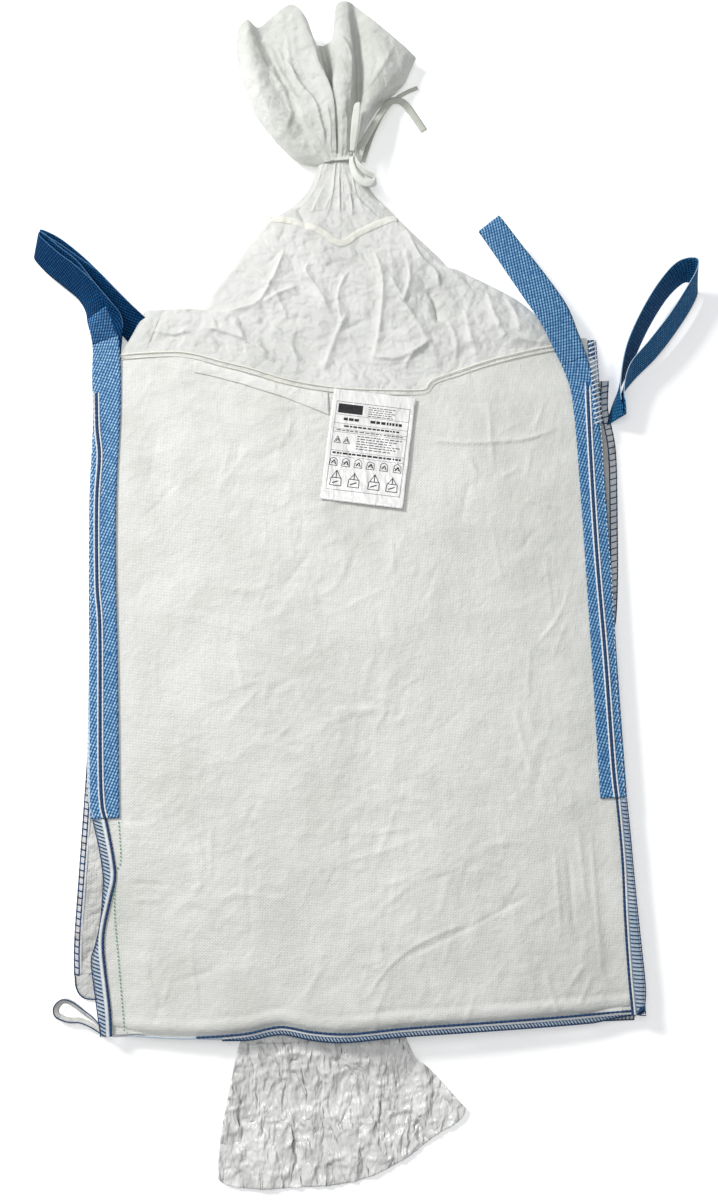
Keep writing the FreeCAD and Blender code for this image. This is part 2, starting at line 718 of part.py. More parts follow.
def write_parts():
    os.makedirs(PARTS_FOLDER, exist_ok=True)
    for item in nodes:
        box = item.Shape.BoundBox
        print(f"{item.Label:28s} {len(item.Shape.Solids)} solid(s) "
              f"x {box.XMin:7.1f} {box.XMax:7.1f}  y {box.YMin:7.1f} {box.YMax:7.1f}  "
              f"z {box.ZMin:5.1f} {box.ZMax:5.1f}  volume {item.Shape.Volume / 1000:8.1f} cm3")
        item.Shape.exportStep(os.path.join(PARTS_FOLDER, f"{item.Label}.step"))


build_walls()
build_top()
build_ties()
build_webbing()
build_side_seams()
build_bottom()
build_trims()
build_tie_tails()
doc.recompute()
check_document()
write_parts()
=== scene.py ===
import math

import bpy
import numpy as np
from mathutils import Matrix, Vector


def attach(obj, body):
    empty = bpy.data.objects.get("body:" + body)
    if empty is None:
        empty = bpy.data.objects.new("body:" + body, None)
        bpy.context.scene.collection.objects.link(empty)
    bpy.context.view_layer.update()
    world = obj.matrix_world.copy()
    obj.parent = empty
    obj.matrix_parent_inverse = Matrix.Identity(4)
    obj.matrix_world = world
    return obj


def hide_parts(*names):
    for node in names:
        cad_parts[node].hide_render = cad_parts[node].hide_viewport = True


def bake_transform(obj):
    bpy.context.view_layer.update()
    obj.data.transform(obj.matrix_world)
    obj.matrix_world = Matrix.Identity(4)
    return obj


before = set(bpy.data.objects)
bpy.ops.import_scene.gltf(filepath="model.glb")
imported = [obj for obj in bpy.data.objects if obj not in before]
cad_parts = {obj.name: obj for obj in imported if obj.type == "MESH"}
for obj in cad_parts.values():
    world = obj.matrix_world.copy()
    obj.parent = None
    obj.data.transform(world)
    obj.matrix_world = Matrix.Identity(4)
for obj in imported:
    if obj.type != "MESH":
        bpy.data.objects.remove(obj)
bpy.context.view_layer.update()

# An empty bulk bag lying flat on its back wall. X is right, Y is towards the filling
# spout and Z is up. Shapes below are in millimetres, and add_mesh() makes them metres.
MM = 0.001
scene = bpy.context.scene
UP = np.array([0.0, 0.0, 1.0])
FLAT = (1, 0, 0)  # the across direction of a strap that lies flat
LENS, SENSOR = 38.43, 36  # millimetres
CAMERA_PLACE, CAMERA_TURN = (-0.0005, -0.1867, 2.2776), (8, 0, -2.3)  # metres and degrees


def add_camera():
    data = bpy.data.cameras.new("view")
    data.lens, data.sensor_width = LENS, SENSOR
    camera = bpy.data.objects.new("view", data)
    camera.location = CAMERA_PLACE
    camera.rotation_euler = [math.radians(a) for a in CAMERA_TURN]
    scene.collection.objects.link(camera)
    scene.camera = camera


add_camera()


# ---- lines and fields

def catmull_rom(a, b, c, d, t):
    """Points from b to c of the smooth curve past a, b, c and d."""
    return 0.5 * (2 * b + (c - a) * t + (2 * a - 5 * b + 4 * c - d) * t ** 2
                  + (3 * b - a - 3 * c + d) * t ** 3)


def spline(points, count):
    """A smooth line through given points, as count points equally far apart."""
    p = np.array(points, float)
    ends = np.vstack([2 * p[0] - p[1], p, 2 * p[-1] - p[-2]])
    t = np.linspace(0, 1, 16, endpoint=False)[:, None]
    runs = [catmull_rom(a, b, c, d, t) for a, b, c, d in zip(ends, ends[1:], ends[2:], ends[3:])]
    return resample(np.vstack(runs + [p[-1:]]), count)


def steps_of(line):
    """Distance from each point to the next, over the first three columns."""
    return np.linalg.norm(np.diff(line[:, :3], axis=0), axis=1)


def run_along(line):
    """Distance from the line's start to each of its points."""
    return np.concatenate([[0], np.cumsum(steps_of(line))])


def length_of(line):
    return float(steps_of(line).sum())


def resample(line, count):
    """The same line as count points equally far apart."""
    far = run_along(line)
    at = np.linspace(0, far[-1], count)
    return np.stack([np.interp(at, far, column) for column in line.T], axis=1)


def unit(vectors):
    return vectors / np.linalg.norm(vectors, axis=1)[:, None]


def across_at(points, y):
    """X of a line that runs along Y."""
    line = spline(points, 400)
    order = np.argsort(line[:, 1])
    return np.interp(y, line[order, 1], line[order, 0])


def along_at(points, x):
    """Y of a line that runs along X."""
    line = spline(points, 400)
    order = np.argsort(line[:, 0])
    return np.interp(x, line[order, 0], line[order, 1])


def ease(t):
    """A smooth step from 0 to 1."""
    t = np.clip(t, 0, 1)
    return t * t * (3 - 2 * t)


def noise(x, y, size, seed):
    """Smooth noise from -1 to 1 whose features are about size millimetres across."""
    table = np.random.default_rng(seed).uniform(-1, 1, (64, 64))
    u, v = np.asarray(x) / size + 31.7, np.asarray(y) / size + 17.3
    i, j = np.floor(u).astype(int), np.floor(v).astype(int)
    fu, fv = ease(u - i), ease(v - j)
    corner = [table[(i + a) % 64, (j + b) % 64] for a in (0, 1) for b in (0, 1)]
    return ((corner[0] * (1 - fv) + corner[1] * fv) * (1 - fu)
            + (corner[2] * (1 - fv) + corner[3] * fv) * fu)


def crumple(x, y, size, seed):
    """Sharp-edged folds from 0 to 1, as in cloth or film that has been crushed."""
    wx = x + size * 0.5 * noise(x, y, size * 1.4, seed + 1)
    wy = y + size * 0.5 * noise(x, y, size * 1.4, seed + 2)
    coarse = 1 - np.abs(noise(wx, wy, size, seed + 3))
    fine = 1 - np.abs(noise(wx, wy, size * 0.45, seed + 4))
    return (coarse ** 3 + 0.4 * fine ** 3) / 1.4


def creases(x, y, lines):
    """Height of straight creases, each given as x0, y0, x1, y1, height and half width."""
    z = np.zeros(np.shape(x))
    for x0, y0, x1, y1, height, width in lines:
        dx, dy = x1 - x0, y1 - y0
        size = math.hypot(dx, dy)
        along = ((x - x0) * dx + (y - y0) * dy) / size ** 2
        off = np.abs((x - x0) * dy - (y - y0) * dx) / size
        fade = ease(along / 0.3) * ease((1 - along) / 0.3)
        z += height * fade * np.exp(-np.sqrt(off ** 2 + 1.5) / width)
    return z


def folds(x, y, lines):
    """Height of folds along bent lines, each given as points, height and half width.
    A fold falls gently to the left of its line and sharply to the right."""
    z = np.zeros(np.shape(x))
    for points, height, width in lines:
        line = spline(points, 2 * len(points) + 6)
        size = steps_of(line)
        total, begun = size.sum(), 0.0
        best, side, far = np.full(np.shape(x), 1e9), np.zeros(np.shape(x)), np.zeros(np.shape(x))
        for (x0, y0), (x1, y1), run in zip(line, line[1:], size):
            dx, dy = (x1 - x0) / run, (y1 - y0) / run
            along = np.clip((x - x0) * dx + (y - y0) * dy, 0, run)
            off = np.hypot(x - x0 - along * dx, y - y0 - along * dy)
            near = off < best
            side = np.where(near, dx * (y - y0) - dy * (x - x0), side)
            far = np.where(near, (begun + along) / total, far)
            best = np.minimum(best, off)
            begun += run
        fade = ease(far / 0.2) * ease((1 - far) / 0.2)
        reach = np.where(side > 0, width, width * 0.3)
        z += height * fade * np.exp(-np.sqrt(best ** 2 + 0.6) / reach)
    return z


def scattered_creases(seed, count, box, length, height, width, heading, spread):
    """Random creases inside box, whose length, height and half width lie in the given ranges and
    whose directions scatter about heading by spread, in degrees."""
    rng = np.random.default_rng(seed)
    found = []
    for _ in range(count):
        x, y = rng.uniform(box[0], box[2]), rng.uniform(box[1], box[3])
        half = rng.uniform(*length) / 2
        a = math.radians(rng.normal(heading, spread))
        rise = rng.uniform(*height) * rng.choice([-1, 1])
        found.append((x - half * math.cos(a), y - half * math.sin(a),
                      x + half * math.cos(a), y + half * math.sin(a), rise, rng.uniform(*width)))
    return found


def nurbs_line(points):
    """Points along the NURBS spline whose control points are the cord's route."""
    curve = bpy.data.curves.new("route", "CURVE")
    curve.dimensions = "3D"
    line = curve.splines.new("NURBS")
    line.points.add(len(points) - 1)
    for control, point in zip(line.points, points):
        control.co = (*point, 1)
    line.order_u = 3
    line.use_endpoint_u = True
    line.resolution_u = 12
    holder = bpy.data.objects.new("route", curve)
    mesh = bpy.data.meshes.new_from_object(holder)
    found = np.array([v.co for v in mesh.vertices])
    bpy.data.objects.remove(holder)
    bpy.data.curves.remove(curve)
    bpy.data.meshes.remove(mesh)
    return found


# ---- meshes

def add_mesh(name, points, faces, look, uv=None, replaces=(), smooth=True):
    """A new piece from points in millimetres. uv holds one pair, in metres, per face corner."""
    mesh = bpy.data.meshes.new(name)
    mesh.from_pydata((np.asarray(points).reshape(-1, 3) * MM).tolist(), [],
                     [list(map(int, f)) for f in faces])
    if uv is not None:
        mesh.uv_layers.new(name="cloth").data.foreach_set("uv", np.asarray(uv, np.float32).ravel())
    mesh.polygons.foreach_set("use_smooth", [smooth] * len(mesh.polygons))
    mesh.materials.append(look)
    obj = bpy.data.objects.new(name, mesh)
    scene.collection.objects.link(obj)
    if replaces:
        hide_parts(*replaces)
    return obj


def corners(grid):
    """The four corners of each cell of a grid."""
    return np.stack([grid[:-1, :-1], grid[:-1, 1:], grid[1:, 1:], grid[1:, :-1]], 2)


def add_sheet(name, grid, look, replaces=(), uv=None, thick=0.0):
    """A sheet of cloth from a grid of points. Without uv its weave follows X and Y."""
    rows, cols = grid.shape[:2]
    faces = corners(np.arange(rows * cols).reshape(rows, cols)).reshape(-1, 4)
    flat = corners((grid[..., :2] if uv is None else uv) * MM).reshape(-1, 2)
    obj = add_mesh(name, grid, faces, look, flat, replaces)
    if thick:
        solid = obj.modifiers.new("thickness", "SOLIDIFY")
        solid.thickness = thick * MM
        solid.offset = 0
    return obj


def ribbon_grid(line, across, width, cells, cup=0.0):
    """A band along line, whose width lies along across. cup arches it over its width."""
    side = unit(across)
    face = np.cross(side, unit(np.gradient(line, axis=0)))
    s = np.linspace(-0.5, 0.5, cells + 1)
    wide = np.broadcast_to(width, len(line))
    grid = (line[:, None] + wide[:, None, None] * s[None, :, None] * side[:, None]
            + (cup * (1 - 4 * s ** 2))[None, :, None] * face[:, None])
    far = np.broadcast_to(run_along(line)[:, None], (len(line), cells + 1))
    uv = np.stack([wide[:, None] * s[None, :], far], -1)
    return grid, uv


def strap_grid(stations, step, cells):
    """Webbing through stations of x, y, z, the three parts of its across direction, and width."""
    line = spline(stations, 60)
    line = spline(stations, max(8, int(length_of(line) / step)))
    return ribbon_grid(line[:, :3], line[:, 3:6], line[:, 6], cells)


def strap(name, stations, look, replaces, thick, step, cells):
    grid, uv = strap_grid(stations, step, cells)
    return add_sheet(name, grid, look, replaces, uv, thick)


def tube_grid(line, radius, sides):
    """Rings of points round a line."""
    line = np.asarray(line, float)
    along = np.gradient(line, axis=0)
    along /= np.linalg.norm(along, axis=1)[:, None] + 1e-9
    side = np.cross(along, UP)
    side[np.linalg.norm(side, axis=1) < 0.05] = (1, 0, 0)
    side = unit(side)
    top = np.cross(side, along)
    a = np.linspace(0, 2 * math.pi, sides, endpoint=False)
    reach = np.broadcast_to(radius, len(line))[:, None, None]
    return line[:, None] + reach * (np.cos(a)[None, :, None] * side[:, None]
                                    + np.sin(a)[None, :, None] * top[:, None])


def add_threads(name, lines, radius, look, replaces=(), sides=6):
    """One piece of many threads. Each line is an array of points, each radius one or many."""
    points, faces, start = [], [], 0
    for k, line in enumerate(lines):
        r = radius[k] if isinstance(radius, list) else radius
        ring = tube_grid(line, r, sides)
        rows = len(ring)
        index = start + np.arange(rows * sides).reshape(rows, sides)
        around = np.hstack([index, index[:, :1]])
        faces += np.stack([around[:-1, :-1], around[1:, :-1], around[1:, 1:], around[:-1, 1:]],
                          -1).reshape(-1, 4).tolist()
        faces += [index[0].tolist(), index[-1][::-1].tolist()]
        points.append(ring.reshape(-1, 3))
        start += rows * sides
    return add_mesh(name, np.vstack(points), faces, look, replaces=replaces)


def twisted(line, radius, pitch):
    """Radius along a line of chain stitches, one swelling per stitch."""
    return radius * (0.72 + 0.28 * np.abs(np.sin(math.pi * run_along(line) / pitch)))


def add_chain(name, line, radius, pitch, look, sides=6):
    """One thread of stitches along line."""
    return add_threads(name, [line], [twisted(line, radius, pitch)], look, sides=sides)


# ---- materials

class Look:
    """A node material made with short calls."""

    def __init__(self, name, rough=0.5, **sockets):
        self.material = bpy.data.materials.new(name)
        self.material.use_nodes = True
        self.tree = self.material.node_tree
        self.shader = self.tree.nodes["Principled BSDF"]
        self.shader.inputs["Roughness"].default_value = rough
        for socket, value in sockets.items():
            self.shader.inputs[socket.replace("_", " ")].default_value = value

    def fill(self, socket, value):
        if isinstance(value, bpy.types.NodeSocket):
            self.tree.links.new(value, socket)
        else:
            socket.default_value = value

    def make(self, kind, inputs=(), **settings):
        node = self.tree.nodes.new(kind)
        for key, value in settings.items():
            setattr(node, key, value)
        for key, value in dict(inputs).items():
            self.fill(node.inputs[key], value)
        return node

    def add(self, kind, inputs=(), out=0, **settings):
        return self.make(kind, inputs, **settings).outputs[out]

    def math(self, operation, a, b=0.0, c=0.0):
        return self.add("ShaderNodeMath", {0: a, 1: b, 2: c}, operation=operation)

    def coordinate(self, which):
        return self.add("ShaderNodeTexCoord", out=which)

    def scaled(self, vector, scale):
        return self.add("ShaderNodeVectorMath", {0: vector, 3: scale}, operation="SCALE")

    def noise(self, where, scale, detail=2.0, rough=0.5):
        return self.add("ShaderNodeTexNoise", {"Vector": where, "Scale": scale, "Detail": detail,
                                               "Roughness": rough})

    def cells(self, size):
        """The two UV coordinates, counted in cells of size."""
        vector = self.scaled(self.coordinate("UV"), 1 / size)
        return self.make("ShaderNodeSeparateXYZ", {0: vector}).outputs[:2]

    def wave(self, value):
        """Round ridges from 0 to 1, one for each whole step of value."""
        return self.math("ABSOLUTE", self.math("SINE", self.math("MULTIPLY", value, math.pi)))

    def ramp(self, value, low, high, low_at=0.0, high_at=1.0):
        node = self.make("ShaderNodeValToRGB", {0: value})
        for element, colour, at in zip(node.color_ramp.elements, (low, high), (low_at, high_at)):
            element.color, element.position = (*colour, 1), at
        return node.outputs[0]

    def mix(self, factor, a, b, blend="MIX"):
        a, b = ((*c, 1) if isinstance(c, tuple) else c for c in (a, b))
        return self.add("ShaderNodeMix", {0: factor, 6: a, 7: b}, 2, data_type="RGBA", blend_type=blend)

    def bump(self, height, strength, distance, under=None):
        inputs = {"Strength": strength, "Distance": distance, "Height": height}
        if under is not None:
            inputs["Normal"] = under
        return self.add("ShaderNodeBump", inputs)

    def crush(self, normal, where, strength, rough, layers):
        """Sharp little lines over normal, in layers of scale and depth."""
        for scale, depth in layers:
            line = self.math("ABSOLUTE", self.math("ADD", self.noise(where, scale, 2.0, rough), -0.5))
            normal = self.bump(line, strength, depth, normal)
        return normal

    def finish(self, colour, normal, rough=None):
        sockets = {"Base Color": colour, "Normal": normal, "Roughness": rough}
        for name, value in sockets.items():
            if value is not None:
                self.fill(self.shader.inputs[name], value)
        return self.material


def woven_cloth(name, low, high, tape=0.0027, gloss=0.42, crumpled=0.09):
    """Flat polypropylene tapes in a plain weave, with a soft shine and sharp little crush lines."""
    look = Look(name, gloss, Specular_IOR_Level=0.45, Sheen_Weight=0.12, Sheen_Roughness=0.4)
    u, v = look.cells(tape)
    place = look.coordinate("Object")
    over = look.math("PINGPONG", look.math("ADD", look.math("FLOOR", u), look.math("FLOOR", v)), 1.0)
    weave = look.math("ADD", look.math("MULTIPLY", look.wave(u), over),
                      look.math("MULTIPLY", look.wave(v), look.math("SUBTRACT", 1.0, over)))
    mottle = look.noise(place, 9.0, 5.0, 0.6)
    crush = look.noise(place, 70.0, 3.0, 0.65)
    colour = look.ramp(mottle, low, high, 0.36, 0.62)
    gap = look.math("MULTIPLY_ADD", look.math("POWER", weave, 0.6), 0.17, 0.83)
    colour = look.mix(1.0, colour, look.add("ShaderNodeCombineColor", {0: gap, 1: gap, 2: gap}),
                      "MULTIPLY")
    normal = look.crush(look.bump(crush, 0.35, 0.005), place, crumpled, 0.55, ((15.0, 0.040), (38.0, 0.017)))
    normal = look.bump(weave, 0.5, 0.0008, normal)
    rough = look.math("MULTIPLY_ADD", mottle, 0.25, gloss - 0.12)
    return look.finish(colour, normal, rough)


WEBBING_RIB = 0.0056


def webbing(name, dark, mid, light, shine=0.15):
    """Twill webbing: slanting ribs of blue yarn with paler flecks where they cross."""
    look = Look(name, 0.62, Specular_IOR_Level=shine)
    u, v = look.cells(WEBBING_RIB)
    ribs = look.wave(look.math("MULTIPLY_ADD", v, -0.45, u))
    across = look.wave(look.math("MULTIPLY_ADD", u, 0.3, v))
    cells = look.math("MULTIPLY", ribs, look.math("MULTIPLY_ADD", across, 0.6, 0.4))
    fleck = look.noise(look.coordinate("Object"), 190.0, 2.0)
    body = look.ramp(cells, dark, mid, 0.12, 0.5)
    colour = look.mix(look.math("MULTIPLY", look.math("POWER", cells, 2.5),
                                look.math("MULTIPLY_ADD", fleck, 2.8, -0.6)), body, light)
    normal = look.bump(cells, 0.6, 0.0012)
    return look.finish(colour, normal)


def yarn(name, dark, light, scale=900.0):
    """Sewing thread with fine twisted plies."""
    look = Look(name, 0.6, Specular_IOR_Level=0.3)
    grain = look.noise(look.coordinate("Object"), scale, 2.0)
    colour = look.ramp(grain, dark, light, 0.3, 0.7)
    return look.finish(colour, look.bump(grain, 0.5, 0.0006))


def film(name, low, high, alpha, crush=1.0):
    """Thin crinkled polyethylene, cloudy and shiny. Its crinkles run along the film's V."""
    look = Look(name, 0.2, Specular_IOR_Level=0.9, Alpha=alpha)
    where = look.add("ShaderNodeMapping", {0: look.coordinate("UV"), 3: (1.0, 0.42, 1.0)})
    warp = look.add("ShaderNodeTexNoise", {"Vector": where, "Scale": 26.0, "Detail": 3.0}, out="Color")
    bent = look.add("ShaderNodeVectorMath", {0: where, 1: look.scaled(warp, 0.06)}, operation="ADD")
    shards = look.add("ShaderNodeTexVoronoi", {"Vector": bent, "Scale": 36.0}, out="Distance")
    cloud = look.noise(where, 34.0, 4.0, 0.7)
    colour = look.ramp(cloud, low, high, 0.35, 0.65)
    normal = look.bump(shards, 0.6 * crush, 0.012)
    return look.finish(colour, look.crush(normal, bent, 0.55 * crush, 0.6, ((11.0, 0.080), (30.0, 0.030))))


CLOTH = woven_cloth("body_cloth", (0.70, 0.705, 0.665), (0.80, 0.805, 0.775))
COVER_CLOTH = woven_cloth("cover_cloth", (0.68, 0.69, 0.665), (0.785, 0.792, 0.77), 0.0018, 0.32, 0.36)
SPOUT_CLOTH = woven_cloth("spout_cloth", (0.62, 0.64, 0.59), (0.775, 0.787, 0.755), 0.0018, 0.32, 0.32)
BLUE = webbing("blue_webbing", (0.005, 0.036, 0.13), (0.035, 0.17, 0.41), (0.50, 0.78, 0.96))
# Painted shade: a darker copy of the blue webbing for the turn of the front left loop, where it leaves the
# light.
SHADED_TURN_WEBBING = webbing("shaded_turn_webbing", (0.002, 0.016, 0.060), (0.010, 0.065, 0.200), (0.14, 0.36, 0.64), 0.08)
# Painted shade: a darker copy of the blue webbing for the front right leg and loop.
SHADED_RIGHT_WEBBING = webbing("shaded_right_webbing", (0.006, 0.035, 0.12), (0.030, 0.145, 0.36), (0.36, 0.64, 0.84))
# Painted shade: a near-black copy of the blue webbing for the back right loop, which stands on edge.
SHADED_SIDE_WEBBING = webbing("shaded_side_webbing", (0.001, 0.018, 0.060), (0.006, 0.070, 0.200), (0.06, 0.26, 0.48), 0.05)
# Painted shade: an almost black copy of the blue webbing for the two left loops, dark whatever the light.
PAINTED_SHADE_WEBBING = webbing("shaded_webbing", (0.0, 0.007, 0.028), (0.002, 0.030, 0.100), (0.015, 0.10, 0.25), 0.03)
WHITE_THREAD = yarn("white_thread", (0.62, 0.66, 0.70), (0.85, 0.87, 0.9))
PALE_THREAD = yarn("pale_thread", (0.25, 0.45, 0.68), (0.62, 0.76, 0.88))
BLUE_THREAD = yarn("blue_thread", (0.005, 0.022, 0.070), (0.018, 0.075, 0.20))
EDGE_THREAD = yarn("edge_thread", (0.03, 0.10, 0.24), (0.12, 0.28, 0.50))
SEAM_THREAD = yarn("seam_thread", (0.76, 0.75, 0.66), (0.88, 0.87, 0.80))
GREEN_THREAD = yarn("green_thread", (0.07, 0.30, 0.12), (0.20, 0.48, 0.24))
SEAM_CLOTH = woven_cloth("seam_tape", (0.78, 0.78, 0.71), (0.90, 0.90, 0.84), 0.0021, 0.55)
TIE_CLOTH = woven_cloth("tie_tape", (0.70, 0.72, 0.66), (0.84, 0.855, 0.81), 0.0016, 0.6)
# Painted shade: a greyer, darker copy of the tie tape for the two loose tails.
SHADED_TAIL_CLOTH = woven_cloth("shaded_tail_tape", (0.56, 0.585, 0.51), (0.72, 0.74, 0.67), 0.0016, 0.6)
FLANGE_CLOTH = woven_cloth("flange_cloth", (0.74, 0.76, 0.78), (0.88, 0.90, 0.92), 0.0020, 0.5)
LAP_CLOTH = woven_cloth("lap_cloth", (0.76, 0.765, 0.735), (0.86, 0.865, 0.84))
PALE_BAND = woven_cloth("pale_band", (0.52, 0.66, 0.80), (0.72, 0.83, 0.92), 0.0020, 0.5)
# Painted shade: a grey copy of the white bag cloth for the back wall's seam edges, the seam tail and the
# corner loop.
SHADED_BACK_CLOTH = woven_cloth("shaded_back_edge_cloth", (0.56, 0.56, 0.54), (0.76, 0.76, 0.74), 0.0020, 0.4, 0.5)
FILM = film("liner_film", (0.72, 0.72, 0.70), (0.97, 0.97, 0.95), 0.9)
LABEL = film("label_film", (0.77, 0.77, 0.76), (0.88, 0.88, 0.87), 1.0, 0.3)
INK = yarn("label_ink", (0.008, 0.008, 0.010), (0.03, 0.03, 0.035), 300.0)


# ---- outlines, seen from above

LEFT_SEAM = [
    (-446, 610), (-446, 469), (-442, 406), (-448, 322), (-449, 175), (-445, 93), (-447, -134), (-445, -210),
    (-438, -243), (-428, -299), (-425, -335), (-433, -370), (-444, -416), (-447, -449), (-444, -489),
    (-437, -553), (-435, -605)]
RIGHT_SEAM = [
    (443, 570), (441, 525), (438, 378), (437, 192), (440, 10), (441, -180), (444, -250), (446, -344),
    (444, -440), (444, -533), (446, -600)]
BOTTOM_SEAM = [
    (-446, -588), (-394, -598), (-304, -604), (-213, -601), (-166, -593), (-140, -592), (-93, -602),
    (-33, -607), (59, -602), (150, -600), (330, -596), (446, -592)]
TOP_SEAM = [
    (-452, 584), (-383, 587), (-309, 586), (-267, 579), (-220, 563), (-171, 548), (-108, 525), (-49, 510),
    (0, 502), (59, 497), (128, 494), (149, 497), (163, 513), (209, 528), (259, 544), (309, 557), (374, 570),
    (450, 578)]
LEFT_EDGE = [
    (-404, 590), (-388, 620), (-368, 664), (-357, 681), (-332, 676), (-300, 667), (-262, 670), (-236, 709),
    (-206, 746), (-180, 777), (-159, 806), (-133, 838), (-97, 861), (-76, 875), (-50, 904), (-27, 958)]
RIGHT_EDGE = [
    (440, 572), (420, 590), (385, 618), (350, 652), (325, 674), (292, 695), (248, 720), (221, 735),
    (203, 741), (185, 762), (152, 797), (123, 828), (99, 855), (72, 886), (56, 920), (47, 958)]


SEAM_HEIGHT, CROWN, CROWN_HALF = 35.0, 20.0, 412.0


def wall_height(x):
    """Height of the slack front wall over the floor: flat by the seams, crowned between."""
    return SEAM_HEIGHT + CROWN * np.clip(1 - (x / CROWN_HALF) ** 2, 0, 1)


def wall_relief(x, y):
    """Slack, packing folds and crush marks of the front wall."""
    slack = 2.4 * noise(x, y, 210, 11) + 1.5 * noise(x, y, 95, 12)
    patchy = ease(0.5 + 0.9 * noise(x, y, 150, 13))
    z = slack + patchy * (2.3 * crumple(x, y, 74, 20) + 1.1 * crumple(x, y, 31, 30))
    box = (-400, -560, 400, 480)
    upright = scattered_creases(5, 60, box, (40, 150), (0.8, 2.2), (2.5, 5), 80, 22)
    level = scattered_creases(6, 46, box, (30, 120), (0.7, 1.8), (2.5, 4), 10, 30)
    z += creases(x, y, upright)
    z += creases(x, y, level)
    z += creases(x, y, HAND_CREASES) + folds(x, y, WALL_FOLDS)
    return z


def wall_z(x, y):
    """Height of the front wall's cloth, whose relief fades out by the webbing and the seams."""
    band = ease((400 - np.abs(x)) / 60) * 0.92 + 0.08
    band = np.where(y < -240, np.maximum(band, ease((440 - np.abs(x)) / 50)), band)
    return wall_height(x) + band * wall_relief(x, y)


# A crease is x0, y0, x1, y1, height and half width. A fold is points, height and half width.
HAND_CREASES = [
    (-385, -455, -352, -560, 4.1, 3.1), (-352, -560, -330, -500, 3.2, 3.1),
    (-330, -600, -352, -552, 3.0, 3.7), (-300, -440, -285, -560, 2.2, 3.1),
    (-405, -345, -330, -352, -2.7, 3.1), (-400, -372, -335, -378, 2.2, 3.1),
    (-262, -360, -255, -240, 2.4, 2.5), (-290, -250, -262, -350, 2.2, 2.5),
    (-240, -365, -120, -385, 1.8, 3.1), (-418, -236, -360, -246, -3.5, 4.3),
    (-406, -240, -385, -270, 3.2, 3.7), (-210, -150, -300, -110, 1.8, 2.5),
    (330, -300, 332, -470, 3.2, 2.5), (352, -300, 356, -480, -3.0, 3.1), (372, -260, 380, -430, 2.7, 2.5),
    (395, -260, 398, -560, 3.5, 2.5), (300, -520, 322, -600, 3.0, 3.7), (240, -480, 300, -560, 2.4, 3.1),
    (330, -560, 372, -505, 2.7, 3.1), (385, -520, 352, -585, 2.7, 3.1), (270, -60, 300, -200, 2.7, 3.1),
    (310, 40, 296, -70, 2.4, 2.5), (345, 210, 352, 60, 2.0, 2.5), (250, 280, 268, 120, 1.6, 3.1),
    (-390, 420, -300, 330, -2.2, 4.3), (-400, 330, -340, 300, 1.9, 3.7), (-330, 560, -400, 470, 2.2, 3.7),
    (-60, -330, 70, -300, 1.5, 3.1), (40, -440, 60, -330, 1.8, 3.1), (120, -520, 160, -420, 1.9, 3.1),
    (-120, -560, -60, -480, 2.0, 3.1), (0, -595, 40, -520, 2.2, 3.1), (160, -600, 185, -540, 2.2, 3.7),
    (366, 485, 333, 412, 2.4, 3.1), (318, 328, 332, 389, 2.4, 2.5), (206, 389, 233, 337, 2.4, 2.8),
    (302, 296, 408, 274, 2.6, 3.1), (269, 336, 314, 356, 2.2, 2.8), (288, 190, 335, 244, -2.0, 3.1),
    (259, 472, 259, 359, 2.0, 2.5), (257, 505, 263, 328, 1.6, 2.5), (216, 393, 236, 328, 1.8, 2.5),
    (423, 204, 384, 104, 2.6, 3.1), (340, 3, 390, 98, 2.4, 3.1)]
WALL_FOLDS = [
    ([(124, 412), (205, 400), (275, 401), (327, 406), (369, 419), (410, 438)], 4.2, 4.5),
    ([(403, 208), (369, 99), (310, 26)], 3.0, 5),
    ([(-12, -569), (32, -507), (93, -464), (185, -431)], 2.6, 4),
    ([(45, -496), (178, -442), (302, -384)], -2.4, 5)]


LOW_EDGE, WALL_LENGTH, WALL_WIDTH = -598, 1180, 890


def build_front_wall():
    """The front wall between its four seams, with a rolled hem at the bottom."""
    step = 3.4
    s, t = np.meshgrid(np.linspace(0, 1, int(WALL_WIDTH / step)), np.linspace(0, 1, int(WALL_LENGTH / step)))
    y = LOW_EDGE + WALL_LENGTH * t
    left, right = across_at(LEFT_SEAM, y), across_at(RIGHT_SEAM, y)
    x = left + (right - left) * s
    low, high = along_at(BOTTOM_SEAM, x), along_at(TOP_SEAM, x)
    y = low + (high - low) * t
    z = wall_z(x, y)
    near = y - low
    hem = 0.6 + 0.5 * noise(x, y, 110, 14)
    z += -9 * np.exp(-(near / 8) ** 2) + hem * (1.6 * np.exp(-((near - 20) / 6) ** 2)
                                                - 1.2 * np.exp(-((near - 31) / 5) ** 2))
    grid = np.stack([x, y, z], -1)
    wall = add_sheet("front_wall", grid, CLOTH, ["front_panel"])
    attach(wall, "bag")


